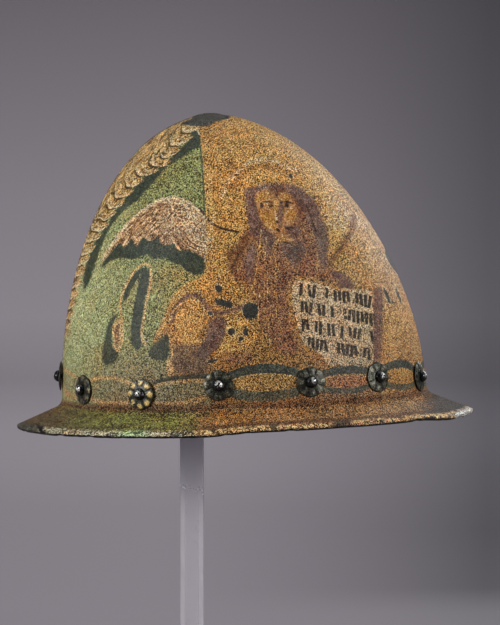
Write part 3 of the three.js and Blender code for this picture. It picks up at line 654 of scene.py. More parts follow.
def photo_pixels(points):
    """Where points of the row frame lie in the photograph."""
    eye = np.array(camera_place())
    ahead = np.array((0, math.cos(CAMERA_ELEVATION), -math.sin(CAMERA_ELEVATION)))
    up = np.array((0, math.sin(CAMERA_ELEVATION), math.cos(CAMERA_ELEVATION)))
    offset = points - eye
    scale = CAMERA_DISTANCE / PIXEL / (offset @ ahead)
    across = PHOTO_SIZE[0] / 2 + offset[:, 0] * scale
    down = PHOTO_SIZE[1] / 2 - offset @ up * scale
    return np.stack([across, down], 1)


def smooth_line(points, closed=False, pieces=4):
    """Points of a smooth curve through the chart's points."""
    p = np.array(points, float)
    if closed:
        before, after, after2 = np.roll(p, 1, 0), np.roll(p, -1, 0), np.roll(p, -2, 0)
    else:
        if len(p) < 3:
            return p
        q = np.concatenate([[2 * p[0] - p[1]], p, [2 * p[-1] - p[-2]]])
        before, p, after, after2 = q[:-3], q[1:-2], q[2:-1], q[3:]
    made = []
    for i in range(pieces):
        t = i / pieces
        made.append(
            0.5
            * (
                2 * p
                + (after - before) * t
                + (2 * before - 5 * p + 4 * after - after2) * t**2
                + (3 * p - before - 3 * after + after2) * t**3
            )
        )
    curve = np.stack(made, 1).reshape(-1, 2)
    return curve if closed else np.concatenate([curve, [points[-1]]])


def along_across(pixels, line):
    """For each pixel the nearest place on a line: how far along it, and how far off, + to its left."""
    start, end = line[:-1], line[1:]
    step = end - start
    length = np.linalg.norm(step, axis=1)
    run = np.concatenate([[0], np.cumsum(length)])
    best = np.full(len(pixels), np.inf)
    along = np.zeros(len(pixels))
    side = np.zeros(len(pixels))
    for i in range(len(step)):
        offset = pixels - start[i]
        share = np.clip(offset @ step[i] / length[i] ** 2, 0, 1)
        gap = np.hypot(*(offset - share[:, None] * step[i]).T)
        nearer = gap < best
        best = np.where(nearer, gap, best)
        along = np.where(nearer, run[i] + share * length[i], along)
        cross = step[i][0] * offset[:, 1] - step[i][1] * offset[:, 0]
        side = np.where(nearer, np.sign(cross), side)
    return along, best * side


def inside(pixels, outline):
    result = np.zeros(len(pixels), bool)
    x, y = pixels.T
    for (x0, y0), (x1, y1) in zip(outline, np.roll(outline, -1, 0)):
        crosses = (y0 > y) != (y1 > y)
        where = x0 + (y - y0) / np.where(y1 == y0, 1e-9, y1 - y0) * (x1 - x0)
        result ^= crosses & (x < where)
    return result


def near(pixels, shape, margin):
    low, high = shape.min(0) - margin, shape.max(0) + margin
    return np.nonzero(((pixels > low) & (pixels < high)).all(1))[0]


def layer_field(pixels, name, first=0, last=None):
    """Signed distance to a layer's shapes, negative inside, in pixels."""
    field = np.full(len(pixels), FAR)
    for outline in AREAS.get(name, [])[first:last]:
        shape = smooth_line(outline, closed=True)
        chosen = near(pixels, shape, FAR / 3)
        loop = np.concatenate([shape, shape[:1]])
        gap = np.abs(along_across(pixels[chosen], loop)[1])
        gap = np.where(inside(pixels[chosen], shape), -gap, gap)
        field[chosen] = np.minimum(field[chosen], gap)
    for width, points in LINES.get(name, []):
        shape = smooth_line(points)
        chosen = near(pixels, shape, FAR / 3)
        gap = np.abs(along_across(pixels[chosen], shape)[1]) - width / 2
        field[chosen] = np.minimum(field[chosen], gap)
    for x, y, radius in SPOTS.get(name, []):
        field = np.minimum(field, np.hypot(pixels[:, 0] - x, pixels[:, 1] - y) - radius)
    return field


def border_fields(turn, height):
    """Heights above the border's upper and lower bands, which swing apart between rivets."""
    folded = np.degrees(np.minimum(turn, 2 * math.pi - turn))
    stops = sorted(BORDER, key=lambda row: row["turn"])
    turns = np.array([-stops[0]["turn"]] + [row["turn"] for row in stops])
    heights = np.array([stops[0]["height"]] + [row["height"] for row in stops])
    rises = np.array([stops[0]["rise"]] + [row["rise"] for row in stops[1:]] + [stops[-1]["rise"]])
    falls = np.array([stops[0]["fall"]] + [row["fall"] for row in stops[1:]] + [stops[-1]["fall"]])
    gap = np.clip(np.searchsorted(turns, folded, side="right") - 1, 0, len(turns) - 2)
    share = (folded - turns[gap]) / (turns[gap + 1] - turns[gap])
    middle = np.interp(folded, turns, heights)
    swing = np.sqrt(np.maximum(0, np.sin(math.pi * np.clip(share, 0, 1))))
    upper = np.array([stops[0]["upper"]] + [row["upper"] for row in stops[1:]] + [0])[gap]
    lower = np.array([stops[0]["lower"]] + [row["lower"] for row in stops[1:]] + [0])[gap]
    above = height / MM - middle
    narrow = 0.55 + 0.45 * swing
    return above - rises[gap] * swing, above + falls[gap] * swing, upper * narrow, lower * narrow


def paint_fields(points, local, zones, turns):
    """All the painted coat's values on the skin's points."""
    mirrored = points * (1, -1, 1)
    right = points[:, 1] <= 0
    pixels = photo_pixels(np.where(right[:, None], points, mirrored))
    outside = zones < 4.2
    figure = outside & right
    fields = {}
    for name in FIGURE_LAYERS:
        field = np.full(len(points), FAR)
        field[figure] = layer_field(pixels[figure], name)
        fields[name] = field
    field = np.full(len(points), FAR)
    field[outside] = layer_field(pixels[outside], "shade")
    left_only = outside & ~right
    field[left_only] = layer_field(pixels[left_only], "shade", last=1)
    fields["shade"] = field
    fields["stub"] = np.full(len(points), FAR)
    fields["stub"][outside] = layer_field(pixels[outside], "stub")
    edge = smooth_line(FIELD_EDGE)
    fields["front"] = along_across(pixels, edge)[1] * -1
    garland = smooth_line(GARLAND_EDGE)
    along, across = along_across(pixels, garland)
    total = np.linalg.norm(np.diff(garland, axis=0), axis=1).sum()
    first, last = GARLAND_PITCH
    share = np.clip(along / total, 0, 1)
    fields["leaf_count"] = total / (last - first) * np.log(1 + share * (last - first) / first)
    fields["leaf_across"] = across
    along, across = along_across(pixels, smooth_line(WING_EDGE))
    fields["wing_along"] = along
    fields["wing_across"] = across
    names = ("band_upper", "band_lower", "upper_width", "lower_width")
    fields.update(zip(names, border_fields(turns, local[:, 2])))
    fields["keel"] = np.where(outside, np.abs(points[:, 1]) / MM, FAR)
    fields["zone"] = zones
    fields["photo_x"] = pixels[:, 0]
    fields["photo_y"] = pixels[:, 1]
    return fields


# Node trees
def srgb(colour):
    """A linear colour from red, green and blue of 0 to 255."""
    channels = []
    for value in colour:
        share = value / 255
        channels.append(share / 12.92 if share <= 0.04045 else ((share + 0.055) / 1.055) ** 2.4)
    return (*channels, 1.0)


def linear(tones):
    """A ramp's places with linear colours, from places with red, green and blue of 0 to 255."""
    return [(place, srgb(colour)) for place, colour in tones]


def below_varnish(colour):
    """A linear colour less the soft reflection that the varnish adds to it."""
    return (*(max(0.002, value - VARNISH_HAZE) for value in srgb(colour)[:3]), 1.0)


class Net:
    """A material's node tree, with short calls for the nodes that it uses."""

    def __init__(self, name):
        self.material = bpy.data.materials.new(name)
        self.material.use_nodes = True
        self.tree = self.material.node_tree
        self.tree.nodes.clear()
        self.shader = self.node("ShaderNodeBsdfPrincipled")
        output = self.node("ShaderNodeOutputMaterial")
        self.link(self.shader.outputs[0], output.inputs["Surface"])
        self.place = self.node("ShaderNodeTexCoord").outputs["Object"]

    def node(self, kind, **settings):
        made = self.tree.nodes.new(kind)
        for key, value in settings.items():
            setattr(made, key, value)
        return made

    def link(self, source, target):
        self.tree.links.new(source, target)

    def put(self, target, value):
        if isinstance(value, bpy.types.NodeSocket):
            self.link(value, target)
        else:
            target.default_value = value

    def math(self, operation, *values, clamp=False):
        made = self.node("ShaderNodeMath", operation=operation, use_clamp=clamp)
        for target, value in zip(made.inputs, values):
            self.put(target, value)
        return made.outputs[0]

    def add(self, a, b):
        return self.math("ADD", a, b)

    def sub(self, a, b):
        return self.math("SUBTRACT", a, b)

    def mul(self, a, b):
        return self.math("MULTIPLY", a, b)

    def both(self, *values):
        """The product of several masks."""
        made = values[0]
        for value in values[1:]:
            made = self.mul(made, value)
        return made

    def smooth(self, value, low, high, start=0.0, end=1.0):
        """Goes smoothly from start to end as the value goes from low to high."""
        made = self.node("ShaderNodeMapRange", interpolation_type="SMOOTHSTEP")
        inputs = {"Value": value, "From Min": low, "From Max": high, "To Min": start, "To Max": end}
        for key, number in inputs.items():
            self.put(made.inputs[key], number)
        return made.outputs[0]

    def level(self, value, low, high):
        """Goes evenly from 0 to 1 as the value goes from low to high."""
        made = self.node("ShaderNodeMapRange")
        for key, number in (("Value", value), ("From Min", low), ("From Max", high)):
            self.put(made.inputs[key], number)
        return made.outputs[0]

    def field(self, name):
        return self.node("ShaderNodeAttribute", attribute_name=name).outputs["Fac"]

    def vector(self, x, y, z=0.0):
        made = self.node("ShaderNodeCombineXYZ")
        for target, value in zip(made.inputs, (x, y, z)):
            self.put(target, value)
        return made.outputs[0]

    def noise(self, size, detail=2.0, roughness=0.5, place=None, distortion=0.0, shift=0.0):
        """A noise value whose features are about the given size."""
        made = self.node("ShaderNodeTexNoise", noise_dimensions="4D")
        self.put(made.inputs["Vector"], self.place if place is None else place)
        made.inputs["W"].default_value = shift
        made.inputs["Scale"].default_value = 1 / size
        made.inputs["Detail"].default_value = detail
        made.inputs["Roughness"].default_value = roughness
        made.inputs["Distortion"].default_value = distortion
        return made.outputs["Fac"]

    def cells(self, size, place=None, feature="F1", output="Distance", randomness=1.0):
        made = self.node("ShaderNodeTexVoronoi", feature=feature)
        self.put(made.inputs["Vector"], self.place if place is None else place)
        made.inputs["Scale"].default_value = 1 / size
        made.inputs["Randomness"].default_value = randomness
        return made.outputs[output]

    def ramp(self, value, stops):
        made = self.node("ShaderNodeValToRGB")
        elements = made.color_ramp.elements
        elements[0].position, elements[0].color = stops[0]
        elements[1].position, elements[1].color = stops[-1]
        for position, colour in stops[1:-1]:
            elements.new(position).color = colour
        self.link(value, made.inputs["Fac"])
        return made.outputs["Color"]

    def tone(self, value, name, low=0.1, high=0.9):
        """A paint's tone, from its dark to its light specks as the grain's value rises."""
        dark, middle, light = (np.array(colour, float) for colour in TONES[name])
        paler = min(SPECK_CONTRAST, ((252 - middle) / (light - middle)).min())
        shades = (middle + (dark - middle) * SPECK_CONTRAST, middle, middle + (light - middle) * paler)
        stops = [below_varnish(np.maximum(shade, 6)) for shade in shades]
        return self.ramp(value, list(zip((low, low + (high - low) * SPECK_MIDDLE, high), stops)))

    def mix(self, share, a, b):
        made = self.node("ShaderNodeMix", data_type="RGBA")
        self.put(made.inputs[0], share)
        self.put(made.inputs[6], a)
        self.put(made.inputs[7], b)
        return made.outputs[2]

    def tint(self, colour, filter_colour):
        made = self.node("ShaderNodeMix", data_type="RGBA", blend_type="MULTIPLY")
        made.inputs[0].default_value = 1
        self.put(made.inputs[6], colour)
        self.put(made.inputs[7], filter_colour)
        return made.outputs[2]

    def blend(self, share, a, b):
        """A number between a and b."""
        made = self.node("ShaderNodeMix", data_type="FLOAT")
        self.put(made.inputs[0], share)
        self.put(made.inputs[2], a)
        self.put(made.inputs[3], b)
        return made.outputs[0]

    def bump(self, height, distance, strength=1.0):
        made = self.node("ShaderNodeBump")
        made.inputs["Distance"].default_value = distance
        made.inputs["Strength"].default_value = strength
        self.link(height, made.inputs["Height"])
        self.link(made.outputs[0], self.shader.inputs["Normal"])

    def set(self, **values):
        names = {"colour": "Base Color", "metal": "Metallic", "rough": "Roughness", "ior": "IOR",
                 "specular": "Specular IOR Level", "transmission": "Transmission Weight",
                 "coat": "Coat Weight", "coat_rough": "Coat Roughness", "sheen": "Sheen Weight",
                 "sheen_rough": "Sheen Roughness"}
        for key, value in values.items():
            self.put(self.shader.inputs[names[key]], value)


class Coat:
    """The skull's painted coat: its grain, the chart's fields and the colour laid on so far."""

    def __init__(self):
        self.net = net = Net("painted_steel")
        self.specks = net.cells(0.43 * MM, output="Color")
        self.fine = net.noise(0.5 * MM, detail=1, shift=2)
        self.coarse = net.noise(2.2 * MM, detail=2, roughness=0.6, shift=3)
        self.patch = net.noise(8 * MM, detail=3, roughness=0.6, shift=11)
        drift = net.noise(26 * MM, detail=2, shift=7)
        value = net.add(net.mul(net.sub(self.specks, 0.5), 1.9), net.mul(net.sub(self.fine, 0.5), 0.6))
        cloud = net.add(net.mul(net.sub(self.coarse, 0.5), 0.45), net.mul(net.sub(self.patch, 0.5), 0.45))
        cloud = net.add(net.add(cloud, 0.5), net.mul(net.sub(drift, 0.5), 0.25))
        self.value = net.add(value, cloud)
        self.calm = net.add(net.mul(value, 0.4), cloud)
        self.ragged = net.sub(net.noise(1.5 * MM, detail=2, roughness=0.7, shift=17), 0.5)
        # Tiny spots: painted glints that stand for varnish highlights, and dark pits
        spot, chance = net.cells(1.3 * MM), net.cells(1.3 * MM, output="Color")
        self.glints = net.both(net.smooth(spot, 0.36, 0.2), net.smooth(chance, 0.62, 0.66))
        self.pits = net.both(net.smooth(spot, 0.38, 0.22), net.smooth(chance, 0.38, 0.34))
        self.x = net.field("photo_x")
        self.y = net.field("photo_y")
        self.zone = net.field("zone")
        self.colour = self.tone("green")

    def tone(self, name, calm=False):
        return self.net.tone(self.calm if calm else self.value, name)

    def mask(self, name, soft=0.5, wear=4.0):
        """1 inside a layer's shapes, with a ragged flaked edge; distances are in pixels."""
        distance = self.net.add(self.net.field(name), self.net.mul(self.ragged, wear))
        return self.net.smooth(distance, -soft, soft, 1.0, 0.0)

    def kept(self, lost, soft=0.06):
        """1 but for a share of the specks, where a thin layer is rubbed away."""
        return self.net.smooth(self.specks, lost - soft, lost + soft)

    def rubbed(self, low, high):
        """0 to 1 over the paint, in worn clouds."""
        return self.net.smooth(self.coarse, low, high)

    def window(self, x0, x1, soft=6.0):
        """1 between two columns of the photograph, with soft sides."""
        net = self.net
        return net.both(net.smooth(self.x, x0 - soft, x0 + soft), net.smooth(self.x, x1 + soft, x1 - soft))

    def lay(self, share, tone, calm=False):
        """Lays a tone by name, or a colour, over what is there; calm tones have fainter specks."""
        paint = self.tone(tone, calm) if isinstance(tone, str) else tone
        self.colour = self.net.mix(share, self.colour, paint)


def painted_steel():
    """Worn oil paint on steel: two fields, garland, winged figure, border and losses."""
    coat = Coat()
    net = coat.net
    ground(coat)
    figure(coat)
    near_wing(coat)
    leaf_garland(coat)
    open_book(coat)
    border(coat)
    brim(coat)
    # Painted highlights: the glints lighten tiny spots as varnish highlights would; the pits darken others
    sparkle = net.mul(net.sub(coat.glints, coat.pits), 0.5)
    coat.colour = net.tint(coat.colour, net.ramp(net.add(sparkle, 0.5), GLINTS))
    lost = losses(coat)
    chipped = turned_edge(coat)
    bare = bare_steel(coat)
    drift = net.ramp(net.noise(1.7 * MM, detail=2, shift=53), HUE_DRIFT)
    coat.colour = net.tint(coat.colour, drift)
    warmth = net.noise(16 * MM, detail=3, roughness=0.6, shift=59)
    coat.colour = net.tint(coat.colour, net.ramp(warmth, WARM_DRIFT))
    inside = net.smooth(coat.zone, 4.3, 4.6)
    coat.lay(inside, "lining")
    metal = net.math("MAXIMUM", bare, inside)
    shine = net.smooth(coat.value, 0.2, 0.8, 0.6, 0.42)
    net.set(colour=coat.colour, specular=0.19, metal=net.mul(metal, 0.4))
    fillet = net.both(net.smooth(coat.zone, 1.0, 1.2), net.smooth(coat.zone, 2.3, 2.0), 0.9)
    net.set(rough=net.blend(fillet, net.blend(metal, shine, 0.46), 0.85))
    relief = net.add(net.mul(coat.specks, 0.35), net.mul(coat.coarse, 0.8))
    relief = net.add(relief, net.add(net.mul(lost, -0.9), net.mul(chipped, 0.8)))
    net.bump(relief, 0.3 * MM, 0.5)
    return net.material


def ground(coat):
    """The green field behind and the ochre field ahead, each paler or browner by place, with painted
    highlights on the rear and low on the right.
    """
    net = coat.net
    # Paler green towards the rear: partly a lighter paint, partly a painted highlight on the rear side
    pale = net.smooth(net.add(coat.x, net.mul(net.sub(coat.patch, 0.5), 80.0)), 78, 158, 1.0, 0.0)
    coat.lay(pale, "pale_lit_green")
    low = net.both(net.smooth(coat.y, 335, 375), net.smooth(coat.x, 70, 120))
    coat.lay(net.mul(low, 0.75), "fill")
    dirt = net.both(net.smooth(coat.x, 140, 190), net.smooth(coat.y, 262, 272), net.smooth(coat.y, 330, 300))
    coat.lay(net.both(dirt, coat.kept(0.62), 0.6), "amber")
    ochre = coat.tone("ochre")
    rise = net.smooth(net.add(coat.y, net.mul(net.sub(coat.patch, 0.5), 120.0)), 255, 345)
    ochre = net.mix(rise, ochre, coat.tone("low_ochre"))
    right = net.smooth(net.add(coat.x, net.mul(net.sub(coat.patch, 0.5), 70.0)), 325, 385)
    ochre = net.mix(net.mul(right, 0.85), ochre, coat.tone("right_ochre"))
    # Painted highlight: a patch of glow colour low on the right of the ochre field
    lit = net.both(net.smooth(coat.x, 368, 392), net.smooth(coat.y, 285, 312), 0.4)
    ochre = net.mix(lit, ochre, coat.tone("glow"))
    top = net.both(coat.window(190, 226, 10.0), net.smooth(coat.y, 170, 135))
    ochre = net.mix(net.mul(top, 0.85), ochre, coat.tone("red_brown"))
    ahead = net.smooth(net.add(net.field("front"), net.mul(coat.ragged, 4.0)), -0.8, 0.8)
    coat.lay(net.math("MAXIMUM", ahead, coat.mask("haunch", 0.8, 5.0)), ochre)
    seam = net.both(net.smooth(net.math("ABSOLUTE", net.add(net.field("front"), 0.8)), 1.6, 0.5),
                    net.smooth(coat.y, 118, 140), net.smooth(coat.y, 285, 262), coat.kept(0.4))
    coat.lay(net.mul(seam, 0.8), "shade")


def figure(coat):
    """The lion: soft brown body, dark mane and shadows, lit face and thighs, fine strands."""
    net = coat.net
    coat.lay(net.mul(coat.mask("shade", 1.2, 5.0), coat.kept(0.2)), "shade", calm=True)
    mottle_place = net.vector(net.mul(coat.x, 0.13), net.mul(coat.y, 0.055))
    mottle = net.noise(1.0, detail=3, roughness=0.6, place=mottle_place, distortion=0.3)
    strand_place = net.vector(net.mul(coat.x, 0.42), net.mul(coat.y, 0.05), 4.0)
    strand = net.noise(1.0, detail=2, roughness=0.55, place=strand_place, distortion=0.25)
    clouds = net.smooth(mottle, 0.34, 0.54, 0.55, 1.0)
    streaks = net.both(coat.mask("streaks", 3.0, 6.0), net.smooth(strand, 0.46, 0.56), 0.8)
    coat.lay(streaks, "red_brown")
    coat.lay(net.both(coat.mask("brown", 4.0, 10.0), clouds, coat.kept(0.14)), "brown")
    coat.lay(net.both(coat.mask("hair", 3.0, 8.0), net.smooth(strand, 0.54, 0.62), 0.85), "amber")
    coat.lay(net.both(coat.mask("mane", 3.0, 8.0), coat.kept(0.16), 0.9), "mane", calm=True)
    glow = net.both(coat.mask("glow", 2.5, 8.0), net.smooth(mottle, 0.62, 0.45, 0.45, 1.0))
    coat.lay(glow, "glow")
    coat.lay(net.mul(coat.mask("face", 1.8, 7.0), 0.85), "face", calm=True)
    coat.lay(net.mul(coat.mask("light", 1.1, 4.0), 0.9), "glow", calm=True)
    coat.lay(net.mul(coat.mask("dusk", 2.0, 6.0), 0.8), "brown", calm=True)
    deep = net.both(coat.mask("deep", 2.0, 5.5), coat.kept(0.08), net.smooth(mottle, 0.3, 0.5, 0.85, 1.0))
    coat.lay(deep, "deep", calm=True)
    coat.lay(net.mul(coat.mask("olive", 4.0, 10.0), 0.75), "olive", calm=True)
    coat.lay(coat.mask("tuft", 0.8, 3.0), "gold")
    coat.lay(net.mul(coat.mask("tuft_core", 0.8, 3.0), 0.85), "brown")
    coat.lay(net.mul(coat.mask("arch", 0.8, 4.5), coat.kept(0.3)), "glow")
    coat.lay(net.mul(coat.mask("gold", 0.5, 2.0), coat.rubbed(0.3, 0.4)), "gold")
    coat.lay(net.mul(coat.mask("ink", 0.5, 1.4), coat.rubbed(0.2, 0.3)), "ink", calm=True)
    halo = net.both(coat.mask("halo", 1.6, 10.0), coat.kept(0.52), coat.rubbed(0.42, 0.5))
    coat.lay(net.mul(coat.mask("under_halo", 3.0, 9.0), 0.75), "red_brown")
    coat.lay(halo, "crescent")
    coat.lay(net.both(coat.mask("cream", 0.6, 2.2), coat.rubbed(0.34, 0.44), 0.85), "cream")


def near_wing(coat):
    """The near wing: cream leading edge, curled coverts by the shoulder, long streaked feathers."""
    net = coat.net
    along, across = net.field("wing_along"), net.field("wing_across")
    place = net.vector(net.mul(along, 0.10), net.mul(across, 0.48))
    streak = net.noise(1.0, detail=2.5, roughness=0.65, place=place, distortion=0.5)
    value = net.add(net.mul(net.sub(streak, 0.5), 2.3), net.mul(net.sub(coat.value, 0.5), 0.6))
    value = net.add(value, 0.48)
    wing = net.tone(value, "wing")
    curls = net.cells(2.9 * MM, feature="DISTANCE_TO_EDGE")
    shoulder = net.both(coat.window(164, 206, 7.0), net.smooth(coat.y, 246, 226))
    wing = net.mix(net.mul(shoulder, 0.7), wing, coat.tone("brown"))
    curled = net.both(shoulder, net.smooth(curls, 0.17, 0.08), coat.kept(0.34))
    wing = net.mix(curled, wing, coat.tone("crescent"))
    gloom = net.both(coat.window(150, 206, 8.0), net.smooth(coat.y, 222, 232),
                     net.smooth(streak, 0.55, 0.45))
    wing = net.mix(net.mul(gloom, 0.6), wing, coat.tone("brown"))
    lead = net.smooth(net.add(across, net.mul(coat.ragged, 4.0)), 4.4, 2.0)
    leading = net.both(lead, net.smooth(coat.x, 196, 178, 0.35, 1.0), coat.kept(0.2))
    wing = net.mix(leading, wing, coat.tone("crescent"))
    coat.lay(coat.mask("wing", 0.7, 3.4), wing)
    loose = net.both(coat.mask("wing_haze", 5.0, 12.0), coat.kept(0.66), coat.rubbed(0.44, 0.52))
    coat.lay(loose, "crescent")


def leaf_garland(coat):
    """Overlapping leaves along the rear keel: white crescent tips, dark gaps, streaked bodies."""
    net = coat.net
    count, across = net.field("leaf_count"), net.field("leaf_across")
    off_centre = net.sub(net.add(across, net.mul(coat.ragged, 4.0)), 8.5)
    bow = net.mul(net.mul(off_centre, off_centre), 0.0078)
    wander = net.mul(net.sub(net.noise(9 * MM, detail=1, shift=41), 0.5), 0.7)
    phase = net.math("FRACT", net.add(net.add(net.add(count, bow), net.mul(coat.ragged, 0.14)), wander))
    place = net.vector(net.mul(net.add(count, bow), 1.3), net.mul(across, 0.42))
    streak = net.noise(1.0, detail=2, roughness=0.6, place=place, distortion=0.5)
    value = net.add(net.mul(net.sub(streak, 0.5), 1.9), net.mul(net.sub(coat.value, 0.5), 0.6))
    value = net.add(value, 0.52)
    body = net.tone(value, "garland")
    tip = net.both(net.smooth(phase, 0.72, 0.80), net.smooth(phase, 0.985, 0.93), coat.kept(0.2))
    body = net.mix(net.mul(tip, net.smooth(across, 17.0, 8.0, 0.3, 1.0)), body, coat.tone("crescent"))
    second = net.both(net.smooth(phase, 0.40, 0.46), net.smooth(phase, 0.58, 0.52), coat.kept(0.45))
    body = net.mix(net.mul(second, 0.7), body, coat.tone("crescent"))
    gap = net.math("MAXIMUM", net.smooth(phase, 0.18, 0.08), net.smooth(phase, 0.975, 1.0))
    body = net.mix(net.both(gap, net.smooth(across, 19.0, 7.0, 0.35, 1.0), 0.9), body, srgb((40, 34, 22)))
    scallop = net.mul(net.math("SINE", net.mul(net.smooth(phase, 0.1, 1.0), math.pi * 0.75)), 3.6)
    inner = net.add(net.sub(across, 2.2), net.add(scallop, net.mul(coat.ragged, 3.0)))
    share = net.both(net.smooth(inner, -0.6, 0.6), net.smooth(coat.y, 356, 322), coat.kept(0.06))
    share = net.mul(share, net.smooth(net.add(coat.x, net.mul(coat.ragged, 6.0)), 200.5, 198.5))
    coat.lay(share, body)
    keel = net.add(net.field("keel"), net.mul(net.sub(coat.coarse, 0.5), 6.0))
    keel = net.sub(keel, net.smooth(coat.y, 160, 130, 1.5, 5.5))
    bare = net.both(net.smooth(keel, 0.7, -0.7), net.smooth(coat.x, 214, 208),
                    net.smooth(coat.zone, 0.96, 0.9))
    coat.lay(bare, "loss")


def open_book(coat):
    """The open book: a cream ground and rows of worn brush marks."""
    net = coat.net
    coat.lay(coat.mask("page", 0.8, 4.0), "page")
    below_top = net.sub(coat.y, SCRIPT["top"])
    slant = net.mul(net.sub(coat.x, SCRIPT["left"]), SCRIPT["slope"])
    level = net.mul(net.sub(below_top, slant), 1 / SCRIPT["row"])
    row, place = net.math("FLOOR", level), net.math("FRACT", level)
    marks = None
    for shift, seed in ((0.0, 1.7), (0.5, 8.3)):
        along = net.mul(net.add(coat.x, net.mul(coat.ragged, 1.6)), 1 / SCRIPT["pitch"])
        pitch = net.add(along, net.add(net.mul(row, 0.37), shift))
        cell, across = net.math("FLOOR", pitch), net.sub(net.math("FRACT", pitch), 0.5)
        chance = net.node("ShaderNodeTexWhiteNoise", noise_dimensions="3D")
        net.put(chance.inputs["Vector"], net.vector(cell, row, seed))
        drawn = net.node("ShaderNodeSeparateColor")
        net.link(chance.outputs["Color"], drawn.inputs[0])
        lean = net.mul(net.sub(drawn.outputs[0], 0.5), 0.75)
        offset = net.add(across, net.mul(net.sub(place, 0.4), lean))
        stroke = net.smooth(net.math("ABSOLUTE", offset), 0.25, 0.13)
        top = net.smooth(place, 0.02, 0.07)
        end = net.add(net.mul(drawn.outputs[1], 0.18), 0.60)
        foot = net.smooth(net.sub(place, end), 0.05, -0.02)
        there = net.math("LESS_THAN", drawn.outputs[2], 0.74)
        mark = net.both(stroke, top, foot, there)
        marks = mark if marks is None else net.math("MAXIMUM", marks, mark)
    worn = net.both(marks, coat.mask("text", 1.0, 3.0), coat.rubbed(0.30, 0.40), coat.kept(0.1))
    coat.lay(worn, "writing")


def border(coat):
    """The band round the foot of the bowl: two ribbons that part and meet at every rivet."""
    net = coat.net
    upper = net.add(net.field("band_upper"), net.mul(coat.ragged, 1.6))
    lower = net.add(net.field("band_lower"), net.mul(coat.ragged, 1.8))
    wall = net.smooth(coat.zone, 1.3, 1.0)
    ahead = net.smooth(coat.x, 200, 222)
    within = net.both(net.smooth(upper, 0.4, -0.4), net.smooth(lower, -0.4, 0.4), wall)
    coat.lay(net.both(within, net.sub(1.0, ahead), 0.4), "fill")
    coat.lay(net.both(within, ahead, 0.8), "amber")
    coat.lay(net.mul(coat.mask("lens", 1.2, 4.0), 0.9), "lens")
    top = net.both(net.smooth(upper, 1.9, 1.3),
                   net.smooth(net.add(upper, net.field("upper_width")), -0.4, 0.4), wall)
    low = net.both(net.smooth(lower, -1.9, -1.3),
                   net.smooth(net.sub(lower, net.field("lower_width")), 0.4, -0.4), wall)
    coat.lay(net.mul(top, ahead), "band", calm=True)
    coat.lay(net.both(low, ahead), "band_specks", calm=True)
    rear = net.sub(1.0, ahead)
    coat.lay(net.both(top, rear, coat.rubbed(0.24, 0.32)), "gold")
    coat.lay(net.both(low, rear, coat.kept(0.28)), "gold")
    off_rim = net.math("ABSOLUTE", net.add(upper, net.add(net.field("upper_width"), 0.5)))
    rim = net.both(net.smooth(off_rim, 0.8, 0.3), ahead, wall)
    coat.lay(net.both(rim, net.smooth(lower, 2.0, 4.0), coat.rubbed(0.4, 0.5), 0.8), "gold")


def brim(coat):
    """The flange: dark olive with green flecks behind, golden flecks on dark brown ahead, and painted shade
    along the foot of the wall.
    """
    net = coat.net
    along = net.vector(net.mul(coat.x, 0.02), net.mul(coat.zone, 6.0))
    bands = net.noise(1.0, detail=2, roughness=0.55, place=along, distortion=0.2)
    clots = net.noise(1.8 * MM, detail=2, roughness=0.65)
    value = net.add(net.mul(net.sub(coat.value, 0.5), 0.95), net.mul(net.sub(clots, 0.5), 0.7))
    value = net.add(net.add(value, net.mul(net.sub(bands, 0.5), 0.5)), 0.42)
    wander = net.add(net.mul(net.sub(coat.patch, 0.5), 100.0), net.mul(net.sub(coat.specks, 0.5), 44.0))
    ahead = net.smooth(net.add(coat.x, wander), BRIM_CHANGE - 24, BRIM_CHANGE + 20)
    flecks = net.both(coat.window(72, 200, 24.0), net.smooth(coat.zone, 1.6, 2.1),
                      net.smooth(bands, 0.4, 0.52, 0.4, 1.0))
    rear = net.mix(net.mul(flecks, 0.9), net.tone(value, "brim_rear"), net.tone(value, "brim_flecks"))
    # Painted shade on the rear flange: darker near the foot of the wall and towards the far left end
    dim = net.math("MAXIMUM", net.smooth(coat.zone, 2.1, 1.5), net.smooth(coat.x, 110, 30))
    rear = net.mix(net.mul(dim, 0.55), rear, coat.tone("brim_dark"))
    front = net.tone(value, "brim_front")
    rust = net.both(coat.window(206, 268, 14.0), net.smooth(bands, 0.6, 0.5),
                    net.smooth(coat.zone, 1.7, 2.0))
    front = net.mix(net.mul(rust, 0.8), front, net.tone(value, "rust"))
    edge_band = net.both(net.smooth(coat.zone, 2.6, 2.74), net.smooth(coat.zone, 2.97, 2.9))
    front = net.mix(net.mul(edge_band, 0.8), front, coat.tone("brim_dark"))
    # Painted shade in the hollow where the wall meets the flange, broken into streaks
    crease_shade = net.both(net.smooth(coat.zone, 2.0, 1.6), net.smooth(bands, 0.62, 0.46, 0.35, 1.0))
    front = net.mix(net.mul(crease_shade, 0.75), front, coat.tone("brim_dark"))
    tone = net.mix(ahead, rear, front)
    nose = net.smooth(net.add(coat.x, net.mul(net.sub(coat.patch, 0.5), 30.0)), 414, 438)
    tone = net.mix(net.mul(nose, 0.9), tone, coat.tone("nose"))
    coat.lay(net.smooth(net.add(coat.zone, net.mul(coat.ragged, 0.5)), 1.05, 1.5), tone)
    # Painted shade: a dark band in the hollow at the foot of the wall
    foot = net.smooth(net.math("ABSOLUTE", net.sub(coat.zone, 1.25)), 0.45, 0.1)
    coat.lay(net.both(foot, coat.kept(0.3), 0.7), "brim_dark")


